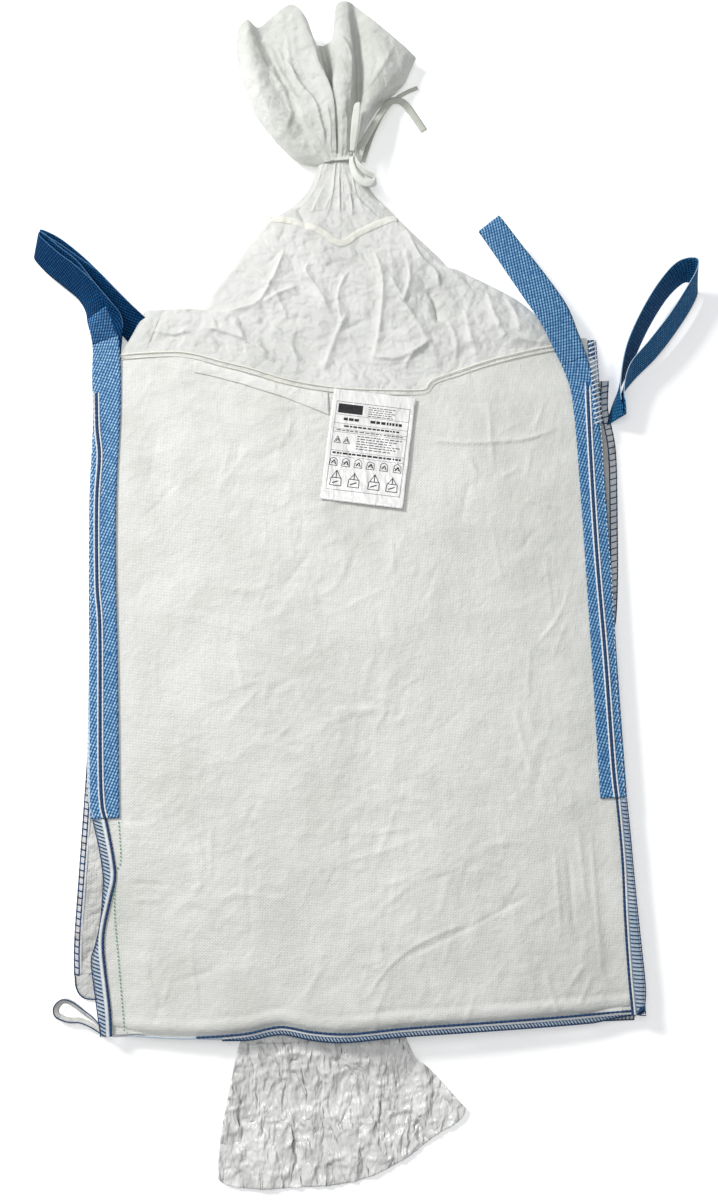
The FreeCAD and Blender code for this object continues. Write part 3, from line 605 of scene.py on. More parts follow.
def build_back_wall():
    """The back wall on the floor and the two side walls folded in between front and back."""
    s, t = np.meshgrid(np.linspace(-1, 1, 100), np.linspace(-1, 1, 120))
    x, y = 449 * s, 600 * t
    lift = ease((np.abs(x) - 405) / 16)
    relief = 0.5 + 0.5 * noise(x, y, 90, 41) + 0.35 * crumple(x, y, 60, 43)
    grid = np.stack([x, y, 1.0 + 2.4 * lift + np.clip(relief, 0, 1.2) * 0.8], -1)
    wall = add_sheet("back_wall", grid, CLOTH, ["back_panel"])
    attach(wall, "bag")
    for side, node in ((-1, "left_side_panel"), (1, "right_side_panel")):
        fold, along = np.meshgrid(np.linspace(-1, 1, 60), np.linspace(-1, 1, 120))
        depth = 1 - np.abs(fold)
        wave = 1.6 * noise(along * 596, fold * 200, 80, 50 + side) * depth
        x = side * (447 - 430 * depth)
        z = 18.3 + 12.5 * np.sign(fold) * np.abs(fold) ** 0.55 + wave
        panel = add_sheet(node.replace("side_panel", "gusset"), np.stack([x, along * 594, z], -1),
                          CLOTH, [node],
                          np.stack([fold * 450, along * 594], -1))
        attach(panel, "bag")


def coons(left, right, low, high, s, t):
    """A smooth patch between four border lines. Each is a function of 0 to 1."""
    a, b = left(t), right(t)
    c, d = low(s), high(s)
    s, t = s[..., None], t[..., None]
    zero, one = np.zeros(1), np.ones(1)
    p00, p10, p01, p11 = low(zero)[0], low(one)[0], high(zero)[0], high(one)[0]
    return ((1 - s) * a + s * b + (1 - t) * c + t * d
            - ((1 - s) * (1 - t) * p00 + s * (1 - t) * p10 + (1 - s) * t * p01 + s * t * p11))


def as_function(points):
    """A line through points as a function of 0 to 1."""
    line = spline(points, 300)
    at = np.linspace(0, 1, 300)
    return lambda q: np.stack([np.interp(q, at, column) for column in line.T], -1)


def top_row():
    """The cover's part of the top seam, between the ends of the cover's side edges."""
    line = [p for p in TOP_SEAM if -400 < p[0] < 435]
    return [LEFT_EDGE[0]] + line + [RIGHT_EDGE[0]]


NECK_X, NECK_Y, NECK_Z, NECK_RISE = 10.0, 956.5, 26.0, 17.0
COVER_FOLDS = [
    ([(-99, 790), (-111, 748), (-142, 692), (-163, 677), (-218, 664)], 9, 9),
    ([(-72, 710), (-102, 700), (-143, 681)], 7, 8), ([(-35, 766), (-28, 755), (-21, 744)], 4, 6),
    ([(242, 692), (218, 719), (185, 747), (146, 785), (123, 818), (84, 840)], 8, 9),
    ([(182, 684), (179, 726), (150, 758), (123, 823)], 8, 8),
    ([(61, 783), (74, 740), (77, 688), (63, 595), (46, 545)], 8, 9),
    ([(157, 695), (171, 663), (174, 622)], -9, 9), ([(223, 661), (232, 599), (244, 547)], 7, 9),
    ([(267, 691), (279, 638), (292, 607)], 7, 8), ([(375, 588), (341, 589), (282, 607)], 6, 8),
    ([(52, 567), (101, 563), (162, 591)], 6, 8), ([(110, 527), (121, 562), (168, 601)], 5, 7),
    ([(11, 654), (-16, 599), (-38, 538)], 7, 9), ([(-50, 756), (-61, 735), (-38, 693), (-19, 650)], 7, 8),
    ([(89, 729), (116, 666), (153, 597)], 7, 9), ([(-77, 868), (-64, 840), (-58, 814)], -6, 9),
    ([(-262, 640), (-215, 628), (-160, 600), (-120, 560)], 6, 9),
    ([(-200, 655), (-178, 610), (-172, 575)], 5, 7), ([(-290, 640), (-285, 615), (-300, 597)], 5, 7),
    ([(-130, 640), (-95, 600), (-80, 555)], 5, 7), ([(-350, 640), (-310, 628), (-262, 632)], 5, 7),
    ([(190, 640), (205, 590), (200, 545)], 5, 7), ([(300, 680), (318, 640), (322, 600)], 6, 7),
    ([(-160, 760), (-120, 700), (-95, 640)], 6, 8), ([(20, 740), (-4, 690), (2, 620)], 5, 7),
    ([(120, 780), (128, 720), (110, 660)], 6, 7), ([(6, 843), (7, 878), (8, 932)], 5, 5),
    ([(30, 831), (27, 896), (19, 924)], 5, 5), ([(76, 837), (49, 865), (25, 897)], 5, 5),
    ([(-18, 909), (-33, 880), (-47, 848)], 7, 8), ([(-4, 930), (-8, 890), (-24, 850)], 4, 5),
    ([(40, 925), (62, 890), (96, 850)], 4, 6)]


def on_cloth(cloth, x, y, lift):
    """Points at x and y on a grid of cloth, raised by lift."""
    cloth = cloth.reshape(-1, 3)
    spots = np.stack([x, y], -1).reshape(-1, 1, 2)
    near = [int(np.argmin(((cloth[:, :2] - spot) ** 2).sum(-1))) for spot in spots]
    return np.stack([x, y, cloth[near, 2].reshape(np.shape(x)) + lift], -1)


def build_cover():
    """Cover and lower spout: a flattened tube from the top seam up to the tie. Returns its upper side."""
    rows, cols = ((210, 260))
    s, t = np.meshgrid(np.linspace(0, 1, cols), np.linspace(0, 1, rows))
    edge_left, edge_right = as_function(LEFT_EDGE), as_function(RIGHT_EDGE)
    neck = as_function([LEFT_EDGE[-1], (10, 960), RIGHT_EDGE[-1]])
    plan = coons(edge_left, edge_right, as_function(top_row()), neck, s, t)
    x, y = plan[..., 0], plan[..., 1]
    arch = np.sqrt(np.clip(1 - (2 * s - 1) ** 2, 0, 1))
    crown = 20 + (30 + 4 * (1 - t)) * arch ** 0.7
    start = wall_height(x) + 1.5
    up = ease(t / 0.18)
    tied = NECK_Z + NECK_RISE * arch
    gather = ease((t - 0.45) / 0.55)
    z = start * (1 - up) + crown * up
    z = z * (1 - gather) + tied * gather
    inside = ease(s / 0.06) * ease((1 - s) / 0.06) * ease(t / 0.08)
    soft = 3.0 * noise(x, y, 90, 61) + 3.0 * crumple(x, y, 75, 62) + 1.8 * crumple(x, y, 34, 66)
    fine = scattered_creases(63, 70, (-330, 530, 330, 860), (30, 110), (1.0, 2.6), (2.5, 5), 70, 45)
    pleat = crumple(s * 300, t * 60, 30, 70) * 3.0 * ease((t - 0.6) / 0.4)
    z = z + inside * ((soft + creases(x, y, fine)) * (1 - 0.6 * gather)
                      + folds(x, y, COVER_FOLDS) * (1 - 0.5 * gather) + pleat - 4.0)
    under = 5.2 + 14.8 * (1 - np.sqrt(np.clip(1 - (2 * s - 1) ** 6, 0, 1)))
    under = under * (1 - gather) + (2 * NECK_Z - tied) * gather
    y_under = np.where(t < 0.3, y + (605 - np.minimum(y, 605)) * ease((0.3 - t) / 0.3), y)
    front = np.stack([x, y, z], -1)
    back = np.stack([x, y_under, np.minimum(under, z - 2)], -1)[:, ::-1]
    back[:, 0], back[:, -1] = front[:, -1], front[:, 0]
    grid = np.concatenate([front, back[:, 1:]], 1)
    uv = np.concatenate([front[..., :2], back[:, 1:, :2] + (0, 900)], 1)
    cover = add_sheet("cover", grid, COVER_CLOTH,
                      ["top_panel", "top_panel_apron", "filling_spout_base"], uv)
    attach(cover, "bag")
    return front


# Lines from the neck to the mouth of the spout, in order round it.
FLARE_RIBS = [
    [(-26, 946, 26), (-59, 955, 22), (-84, 974, 20), (-116, 1013, 18), (-143, 1054, 18), (-157, 1092, 18),
     (-169, 1135, 20), (-177, 1182, 22), (-173, 1217, 32)],
    [(-20, 948, 37), (-66, 978, 42), (-103, 1024, 50), (-130, 1087, 54), (-147, 1158, 54),
     (-154, 1233, 48)],
    [(-13, 948, 41), (-46, 996, 42), (-68, 1059, 38), (-90, 1112, 32), (-113, 1165, 28), (-134, 1224, 37)],
    [(-8, 948, 43), (-32, 1005, 50), (-52, 1062, 50), (-76, 1112, 47), (-98, 1170, 45), (-103, 1242, 46)],
    [(-4, 948, 43), (-14, 1005, 50), (-28, 1062, 50), (-44, 1112, 52), (-58, 1180, 55), (-69, 1255, 58)],
    [(2, 948, 43), (3, 1004, 54), (2, 1056, 59), (-5, 1090, 59), (-22, 1135, 60), (-32, 1175, 60),
     (-43, 1229, 54)],
    [(4, 948, 42), (4, 1004, 44), (0, 1056, 44), (-4, 1095, 38), (-14, 1145, 32), (-22, 1180, 24),
     (-28, 1201, 14)],
    [(5, 948, 41), (4, 1004, 38), (0, 1056, 28), (-3, 1100, 17), (-8, 1150, 11), (-12, 1199, 9)],
    [(8, 948, 43), (7, 1004, 48), (2, 1070, 51), (3, 1100, 51), (8, 1134, 48), (9, 1166, 43),
     (5, 1202, 34)],
    [(14, 948, 43), (18, 1009, 54), (20, 1055, 59), (24, 1107, 60), (22, 1150, 58), (19, 1205, 54),
     (14, 1251, 52)],
    [(20, 948, 42), (29, 985, 44), (36, 1055, 46), (40, 1107, 48), (40, 1185, 52), (33, 1258, 57)],
    [(26, 948, 40), (34, 985, 34), (44, 1042, 27), (50, 1106, 24), (50, 1185, 28), (50, 1254, 46)],
    [(32, 949, 38), (44, 1000, 42), (60, 1060, 47), (72, 1100, 50), (80, 1160, 52), (82, 1222, 50)],
    [(38, 950, 34), (50, 1000, 38), (78, 1058, 43), (105, 1100, 45), (118, 1150, 47), (121, 1188, 46)],
    [(46, 953, 26), (47, 975, 24), (54, 1000, 22), (64, 1033, 20), (84, 1064, 18), (97, 1074, 18),
     (134, 1107, 18), (150, 1136, 20), (161, 1158, 24)],
    [(36, 948, 15), (50, 1010, 7), (85, 1075, 5), (115, 1130, 5), (128, 1180, 6)],
    [(20, 948, 10), (28, 1010, 5), (50, 1090, 4), (62, 1160, 4), (62, 1217, 5)],
    [(8, 948, 9), (6, 1010, 4), (2, 1090, 4), (0, 1160, 4), (-5, 1200, 5)],
    [(-8, 948, 10), (-30, 1020, 5), (-50, 1090, 4), (-70, 1160, 4), (-75, 1217, 5)],
    [(-20, 947, 15), (-60, 1000, 7), (-100, 1060, 6), (-135, 1140, 6), (-145, 1207, 8)]]


FLARE_FOLDS = [
    ([(-81, 1067), (-87, 1100), (-101, 1115), (-121, 1144), (-140, 1187)], 5, 7),
    ([(-87, 1103), (-86, 1131), (-93, 1160), (-101, 1180)], 4, 6),
    ([(-17, 965), (-17, 1000), (-23, 1025), (-32, 1062), (-57, 1096), (-79, 1142), (-94, 1168)], 8, 9),
    ([(7, 1044), (5, 1074), (-4, 1094), (-24, 1143), (-25, 1177), (-35, 1203)], 5, 7),
    ([(33, 1043), (38, 1098), (40, 1149), (28, 1180), (11, 1201)], 6, 7),
    ([(54, 1058), (77, 1108), (87, 1144), (75, 1167)], -4, 10),
    ([(135, 1106), (134, 1137), (146, 1170)], 4, 6),
    ([(-91, 1000), (-77, 1039), (-81, 1067), (-115, 1155)], 5, 7),
    ([(-17, 972), (-34, 995), (-51, 1024), (-58, 1069)], 4, 6), ([(20, 960), (26, 1010), (24, 1060)], 4, 5),
    ([(-60, 1090), (-74, 1140), (-80, 1200)], 4, 6), ([(60, 1080), (100, 1130), (118, 1170)], 4, 7),
    ([(-8, 960), (-4, 1010), (-10, 1060)], 4, 5), ([(-110, 1020), (-122, 1060), (-140, 1100)], 4, 6)]


def build_flare():
    """The spout above the tie: a tube that opens from the neck in loose folds."""
    rows, per = ((150, 15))
    ribs = np.array([spline(rib, rows) for rib in FLARE_RIBS])
    closed = np.concatenate([ribs[-1:], ribs, ribs[:2]])
    t = np.linspace(0, 1, per, endpoint=False)[:, None, None]
    parts = [catmull_rom(a, b, c, d, t) for a, b, c, d in zip(closed, closed[1:], closed[2:], closed[3:])]
    grid = np.concatenate(parts + [ribs[:1]]).transpose(1, 0, 2)
    x, y = grid[..., 0], grid[..., 1]
    high = np.linspace(0, 1, rows)[:, None]
    around = np.linspace(0, 1, grid.shape[1])[None, :]
    front = ease((around * len(ribs) - 0.4) / 0.8) * ease((14.0 - around * len(ribs)) / 0.8)
    pleat = 4.0 * (crumple(around * 900 + 0 * high, high * 60, 26, 80) - 0.4) * np.exp(-high / 0.28)
    left_side = scattered_creases(86, 34, (-160, 980, -20, 1200), (25, 80), (1.0, 2.4), (2, 4), 118, 22)
    right_side = scattered_creases(87, 16, (0, 1000, 140, 1220), (25, 90), (0.6, 1.6), (2, 5), 75, 25)
    soft = 2.2 * crumple(x, y, 46, 84) + 1.1 * crumple(x, y, 22, 88) + 1.4 * noise(x, y, 60, 89) \
        + folds(x, y, FLARE_FOLDS) + creases(x, y, left_side + right_side)
    relief = front * (pleat * ease(high / 0.05) + soft * ease(high / 0.2))
    grid[..., 2] = np.maximum(grid[..., 2] + relief, 2.4)
    flare = add_sheet("flare", grid, SPOUT_CLOTH, ["filling_spout"],
                      np.stack([around * 1413 + 0 * x, high * 330 + 0 * x], -1), 0.5)
    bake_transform(flare)


def build_ties():
    """Tape round the neck, and the knot and bow beside it; the two loose tails come from build_tails()."""
    a = np.linspace(0, 2 * math.pi, 90)
    wobble = 1 + 0.03 * np.sin(7 * a) + 0.02 * np.sin(13 * a + 1)
    ring = np.column_stack([NECK_X + 39.0 * np.cos(a) * wobble, NECK_Y + 1.5 * np.sin(3 * a),
                            NECK_Z + 20.0 * np.sin(a) * wobble])
    across = np.column_stack([0.05 * np.sin(5 * a), np.ones(90), 0.12 * np.sin(4 * a)])
    grid, uv = ribbon_grid(ring, across, 13.0, 6, -1.0)
    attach(add_sheet("neck_wrap", grid, TIE_CLOTH, ["tie_wrap"], uv, 0.6), "spout")
    q = np.linspace(0, 2 * math.pi, 100)
    knot = np.column_stack([33 + 4.2 * (np.sin(q) + 1.7 * np.sin(2 * q)) * 0.8,
                            956 + 4.2 * (np.cos(q) - 1.7 * np.cos(2 * q)) * 0.8,
                            50.5 + 3.6 * -np.sin(3 * q)])
    across = np.column_stack([np.cos(2 * q) * 0.6, np.sin(2 * q) * 0.6, np.ones(100)])
    grid, uv = ribbon_grid(knot, across, 6.5, 4, 0.8)
    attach(add_sheet("tie_knot_tape", grid, TIE_CLOTH, ["tie_knot"], uv, 0.8), "spout")
    bows = {
        "bow_upper": ("tie_bow_upper", [(33, 960, 57, 1, -.1, .2, 9), (37, 985, 62, 1, -.1, .1, 13),
                                        (42, 1020, 65, .97, -.1, .2, 15), (45.5, 1044, 66, .95, 0, .3, 12),
                                        (46, 1051, 63.5, .9, .1, .4, 8), (44, 1042, 61, .95, 0, .3, 12),
                                        (39, 1000, 60, 1, -.1, .1, 13), (34, 962, 56, 1, -.1, .2, 9)]),
        "bow_lower": ("tie_bow_lower", [(36, 951, 53, .5, .3, .8, 8), (43, 934, 55, .4, .3, .85, 12),
                                        (57, 918, 56, .3, .4, .86, 14), (71, 909, 56, .1, .5, .86, 14),
                                        (75, 901, 56, -.1, .6, .8, 14), (66, 896, 57, .15, .92, .35, 15),
                                        (50, 899, 58, .22, .95, .2, 15), (37, 914, 57, .6, .75, .2, 14),
                                        (31, 936, 55, .9, .3, .3, 10), (31, 951, 53, .8, .2, .5, 8)])}
    for name, (node, stations) in bows.items():
        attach(strap(name, stations, TIE_CLOTH, [node], 0.7, 2, 4), "spout")


# The loose tails' pieces: CAD node, length in metres, width, how far the tape leans, and the
# control points of the CAD's route in metres.
TAILS = {
    "tail_long": ("tie_tail_long", 0.2267, 14.0, 0.15, [
        (.047, .966, .050), (.072, 1.014, .040), (.097, 1.058, .026), (.110, 1.080, .016),
        (.134, 1.082, .008), (.152, 1.056, .0035), (.171, 1.023, .002)]),
    "tail_short": ("tie_tail_short", 0.2006, 9.0, 0.6, [
        (.053, .955, .022), (.066, 1.000, .014), (.086, 1.044, .009), (.104, 1.074, .007),
        (.136, 1.100, .005), (.163, 1.110, .003)])}


def build_tails():
    """The two loose ends of the tie, each a flat tape along its NURBS route."""
    for name, (node, length, width, lean, route) in TAILS.items():
        path = nurbs_line(route)
        line = resample(path / MM, 70)
        across = np.cross(np.gradient(line, axis=0), UP) + (0, 0, lean)
        grid, uv = ribbon_grid(line, across, width, 4, 0.6)
        grid[..., 2] = np.maximum(grid[..., 2], 0.8)
        tail = add_sheet(name, grid, SHADED_TAIL_CLOTH, [node], uv, 0.7)
        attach(tail, "spout")


# ---- straps
# A station of a strap is its x, y and z, the three parts of its across direction, and its width.

FRONT_LEFT = [
    (-441, -235, 38, *FLAT, 50), (-440, 0, 38, *FLAT, 50), (-440, 200, 38, *FLAT, 48),
    (-437, 341, 38, *FLAT, 48), (-429, 470, 38, *FLAT, 49), (-428, 550, 38.5, *FLAT, 52),
    (-428, 612, 41, .95, .31, -.03, 50), (-433, 650, 42, .88, .42, -.20, 52),
    (-446, 690, 40, .68, .42, .50, 54), (-467, 722, 37, .50, .40, .77, 58),
    (-495, 749, 36, .46, .40, .79, 60), (-526, 776, 35, .46, .40, .79, 58),
    (-553, 806, 35, .36, .50, .79, 54), (-547, 812, 36, .36, .46, .81, 54),
    (-520, 784, 36, .46, .38, .80, 58), (-488, 755, 36, .46, .38, .80, 60),
    (-456, 712, 37, .48, .36, .80, 58), (-430, 676, 37, .60, .34, .72, 56),
    (-418, 650, 37, .80, .30, .40, 50), (-425, 600, 36, *FLAT, 47), (-427, 540, 35.8, *FLAT, 46)]
BACK_LEFT = [
    (-345, 610, 8, .78, .62, .05, 50), (-372, 640, 14, .75, .60, .30, 50),
    (-400, 674, 28, .60, .50, .62, 55), (-424, 704, 35, .46, .38, .80, 58),
    (-452, 735, 36, .46, .38, .80, 60), (-483, 760, 36, .46, .38, .80, 60),
    (-517, 788, 36, .46, .38, .80, 58), (-548, 812, 36, .30, .46, .81, 54),
    (-545, 816, 37, .30, .44, .82, 54), (-518, 799, 37, .46, .38, .80, 58),
    (-479, 764, 37, .46, .38, .80, 60), (-444, 727, 37, .46, .38, .80, 60),
    (-414, 693, 36, .48, .40, .78, 58), (-393, 667, 31, .60, .50, .62, 55),
    (-366, 640, 18, .75, .60, .30, 50), (-341, 613, 11, .78, .62, .05, 50)]
FRONT_RIGHT = [
    (438, -235, 38, *FLAT, 46), (438, 0, 38, *FLAT, 44), (438, 300, 38, *FLAT, 45),
    (434, 470, 38.5, *FLAT, 44), (424, 530, 42, .96, .2, .1, 46), (404, 585, 50, .88, .46, .05, 52),
    (384, 634, 56, .86, .5, 0, 57), (353, 686, 58, .85, .53, 0, 57), (317, 744, 58, .83, .56, 0, 53),
    (283, 801, 58, .8, .6, 0, 48), (277, 810, 53, .8, .6, 0, 48), (285, 800, 48, .8, .6, 0, 48),
    (321, 746, 46, .83, .56, 0, 53), (358, 688, 46, .85, .53, 0, 56), (389, 636, 45, .86, .5, 0, 55),
    (407, 588, 42, .88, .46, 0, 51), (426, 532, 38, .96, .2, 0, 45), (435, 480, 36, *FLAT, 43)]
LEAN = (-.36, .30, .88)  # the across direction of the right loop, which stands on edge
BACK_RIGHT = [
    (490, 440, 24, .6, .2, .75, 40), (494, 478, 28, .1, .1, .95, 48), (506, 520, 32, -.2, .2, .94, 54),
    (524, 566, 38, *LEAN, 56), (553, 622, 40, *LEAN, 58), (588, 674, 40, *LEAN, 58),
    (620, 706, 40, -.2, .5, .84, 56), (646, 712, 40, .1, .5, .84, 54), (654, 694, 40, -.2, .4, .88, 56),
    (636, 660, 40, *LEAN, 58), (602, 612, 40, *LEAN, 58), (563, 566, 38, *LEAN, 58),
    (524, 526, 34, -.3, .25, .9, 54), (503, 486, 29, .0, .1, .95, 48), (494, 442, 25, .6, .2, .75, 40)]


def build_straps():
    """Four lifting loops: two run down the front wall as webbing, two come from the back wall.
    A part is its name, look, last Y on the way up, and the nodes it stands for."""
    # The turn and the loops above it use darker copies of the blue webbing as painted shade.
    loops = (
        ("front_left_loop", FRONT_LEFT, (-.428, .612, .036), (-.446, .652, .036),
         (("front_left_leg", BLUE, 618, ["front_left_webbing"]), ("front_left_turn", SHADED_TURN_WEBBING, 676, []),
          ("front_left_strap", PAINTED_SHADE_WEBBING, None, ["lifting_loop_front_left"]))),
        ("back_left_loop", BACK_LEFT, (-.388, .660, .033), (-.404, .690, .033),
         (("back_left_strap", PAINTED_SHADE_WEBBING, None, ["lifting_loop_back_left"]),)),
        ("front_right_loop", FRONT_RIGHT, (.430, .550, .050), (.412, .582, .050),
         (("front_right_leg", SHADED_RIGHT_WEBBING, 545, ["front_right_webbing"]),
          ("front_right_strap", SHADED_RIGHT_WEBBING, None, ["lifting_loop_front_right"]))),
        ("back_right_loop", BACK_RIGHT, (.498, .500, .040), (.514, .530, .040),
         (("back_right_strap", SHADED_SIDE_WEBBING, None, ["lifting_loop_back_right"]),)))
    for body, stations, start, end, parts in loops:
        grid, uv = strap_grid(stations, 4, 10)
        row = 0
        for name, look, top, nodes in parts:
            last = len(grid) - 1 if top is None else int(np.argmax(grid[:, 5, 1] > top))
            rows = slice(row, last + 1)
            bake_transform(add_sheet(name, grid[rows], look, nodes, uv[rows], 1.6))
            row = last
        if body != "front_right_loop":
            above, look = (640, EDGE_THREAD) if "left" in body else (470, PALE_THREAD)
            near = grid[:, -1][grid[:, -1, 1] > above] + UP * 0.4
            hem = resample(near, int(length_of(near) / 3))
            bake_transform(add_threads(f"{body}_selvedge", [hem], 0.7, look, sides=5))
    for x, node in ((-437, "back_left_webbing"), (444, "back_right_webbing")):
        stations = [(x, y, 1, *FLAT, 44) for y in (-235, 100, 600)]
        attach(strap(node.replace("webbing", "leg"), stations, BLUE, [node], 1.4, 8, 6), "bag")


# ---- seams

def overlock(name, inner, outer, pitch, replaces, slant, radius, rungs=BLUE_THREAD, needle=False):
    """Thread rungs over a cut edge, with a thread along the edge and maybe one along the inside."""
    count = int(length_of(outer) / pitch)
    a, b = resample(inner, count), resample(outer, count)
    shift = (b[1:] - b[:-1]) * slant
    a, b = a[:-1], b[:-1] + shift
    out = unit(b - a)
    lines = np.stack([a + UP * 0.8, (a + b) / 2 + UP * 1.5, b + UP * 0.9, b + out * 0.9 - UP * 0.3], 1)
    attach(add_threads(name, list(lines), radius, rungs, replaces, 5), "bag")
    for part, line, size in (("edge", outer, 1.1), ("needle", inner, 1.2))[:2 if needle else 1]:
        fine = resample(line, int(length_of(line) / 1.6)) + UP * 0.7
        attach(add_chain(f"{name}_{part}", fine, size, pitch, BLUE_THREAD), "bag")


def flange_strip(name, inner, outer, look, replaces, wave, seed, thick=1.2):
    """A narrow strip of doubled cloth between a seam and its cut edge."""
    count = int(length_of(outer) / 5)
    a, b = resample(inner, count), resample(outer, count)
    s = np.linspace(0, 1, 7)[None, :, None]
    grid = a[:, None] * (1 - s) + b[:, None] * s
    grid[..., 2] += wave * noise(grid[..., 0], grid[..., 1], 22, seed) * s[..., 0]
    far = np.linspace(0, length_of(outer), count)[:, None]
    uv = np.stack([np.broadcast_to(s[..., 0] * 20, (count, 7)), np.broadcast_to(far, (count, 7))], -1)
    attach(add_sheet(name, grid, look, replaces, uv, thick), "bag")


def band(name, line, across, width, cup):
    """A narrow band of pale cloth along line."""
    grid, uv = ribbon_grid(line, np.tile(across, (len(line), 1)), width, 4, cup)
    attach(add_sheet(name, grid, FLANGE_CLOTH, (), uv, 0.6), "bag")


def side_line(points, low, high, height, shift=0.0, count=300):
    """Part of an outline from low to high Y, at one height and moved sideways by shift."""
    y = np.linspace(low, high, count)
    return np.column_stack([across_at(points, y) + shift, y, np.full(count, height)])


LEFT_FLANGE = [
    (-452, 600), (-450, 479), (-457, 407), (-463, 259), (-463, 135), (-467, 15), (-471, -133), (-469, -209),
    (-462, -232), (-451, -281), (-444, -330), (-445, -362), (-450, -411), (-459, -448), (-466, -473),
    (-461, -521), (-456, -561), (-451, -600)]
RIGHT_FLANGE = [
    (459, 553), (460, 487), (461, 400), (459, 300), (461, 191), (461, 99), (457, -66), (458, -136),
    (459, -227), (461, -294), (463, -380), (466, -466), (469, -550), (466, -584)]
BACK_LEFT_FLANGE = [
    (-456, 590), (-460, 200), (-467, 15), (-477, -133), (-485, -231), (-493, -328), (-502, -440),
    (-503, -500)]
BACK_RIGHT_FLANGE = [
    (458, -560), (455, -200), (457, 27), (469, 76), (477, 145), (483, 235), (490, 376), (485, 437),
    (481, 471), (486, 520)]


def build_side_seams():
    """The front corners: below the webbing a bare seam, above its end a double chain stitch over it."""
    leg_end = -236
    sides = (("left", LEFT_SEAM, LEFT_FLANGE, -1, 560, 524, 5.5, 0.9),
             ("right", RIGHT_SEAM, RIGHT_FLANGE, 1, 552, 555, 3.6, -0.3))
    for side, seam, edge, out, top, chain_top, wide, slant in sides:
        name = f"front_{side}"
        flange_strip(f"{name}_flange", side_line(seam, LOW_EDGE, top, 35.0),
                     side_line(edge, LOW_EDGE, top, 34.2), PALE_BAND, [f"{name}_seam_flange"], 0.6, 7 + out)
        band(f"{name}_band", side_line(seam, LOW_EDGE, leg_end, 36.9, out * (2.2 + wide / 2)),
             (1.0, 0, 0), wide, 0.8)
        overlock(f"{name}_edge_low", side_line(seam, LOW_EDGE, leg_end, 36.2, out * (3.4 + wide)),
                 side_line(edge, LOW_EDGE, leg_end, 35.4, out * 1.5), 6.4, [f"{name}_overlock"], slant, 0.95)
        rim = side_line(edge, leg_end, top, 38.2, -out * 1.5, 600)
        far = run_along(rim)
        dots = [rim[(far >= k) & (far <= k + 4.5)] for k in np.arange(4, far[-1] - 8, 8.5)]
        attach(add_threads(f"{name}_edge_dots", dots, 1.1, WHITE_THREAD, sides=5), "bag")
        lines = [side_line(seam, leg_end + 2, chain_top, 39.5, d * 4.1, 900) for d in (-1, 1)]
        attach(add_threads(f"{name}_chain", lines, [twisted(l, 1.7, 8) for l in lines], WHITE_THREAD,
                            [f"{name}_chain_stitch"]), "bag")
        groove = side_line(seam, leg_end, chain_top, 39.2, 0, 500)
        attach(add_chain(f"{name}_groove", groove, 2.4, 9, BLUE_THREAD), "bag")
        low_chain = side_line(seam, LOW_EDGE, leg_end, 37.0, 0, 400)
        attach(add_chain(f"{name}_low_chain", low_chain, 2.2, 8, BLUE_THREAD), "bag")
    overlock("front_right_edge_high", side_line(RIGHT_FLANGE, 430, 586, 44.0, -13),
             side_line(RIGHT_FLANGE, 430, 586, 37.0, 2), 8.0, [], 0.8, 1.5, WHITE_THREAD)
    y = np.arange(-590, -241, 6.4)
    x = across_at([(-418, -233), (-415, -306), (-423, -330), (-427, -390), (-422, -467), (-413, -590)], y)
    dashes = [np.array([(a, b + k, h + 1.7) for k in (0, 1.6, 3.2)]) for a, b, h in zip(x, y, wall_z(x, y))]
    marker = add_threads("marker_dashes", dashes, 0.85, GREEN_THREAD, ["marker_stitch"], 5)
    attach(marker, "bag")


def build_back_seams():
    """Seam allowances of the back wall that show past the sides of the front."""
    sides = (("left", BACK_LEFT_FLANGE, -1, -500, 590, 8.0), ("right", BACK_RIGHT_FLANGE, 1, -560, 520, 12.5))
    for side, edge, out, low, high, reach in sides:
        outer = side_line(edge, low, high, 3.4)
        inner = np.column_stack([np.full(300, out * 449.0), outer[:, 1], np.full(300, 3.6)])
        flange_strip(f"back_{side}_flange", inner, outer, SHADED_BACK_CLOTH, [f"back_{side}_seam_flange"],
                     1.6, 17 + out, 1.0)
        rim = resample(outer, 300)
        flange_strip(f"back_{side}_hem", rim - (out * 13.0, 0, 0) + UP * 1.0, rim + UP * 0.6,
                     FLANGE_CLOTH, (), 0.3, 27 + out, 0.6)
        overlock(f"back_{side}_edge", rim - (out * reach, 0, 0) + UP * 0.6, rim + UP * 0.4, 11.5,
                 [f"back_{side}_overlock"], 0.25, 1.0, needle=True)
    tail = spline([(-502, -500, 4), (-500, -520, 5), (-490, -536, 5), (-472, -541, 4), (-458, -540, 4)], 40)
    root = spline([(-478, -498, 4), (-472, -506, 4), (-466, -512, 4), (-460, -518, 4), (-456, -520, 4)], 40)
    flange_strip("back_left_tail", root, tail, SHADED_BACK_CLOTH, ["back_left_seam_tail"], 1.5, 5)
    edge = resample(tail, 60) + UP * 1.0
    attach(add_chain("back_left_tail_edge", edge, 1.2, 6, BLUE_THREAD), "bag")


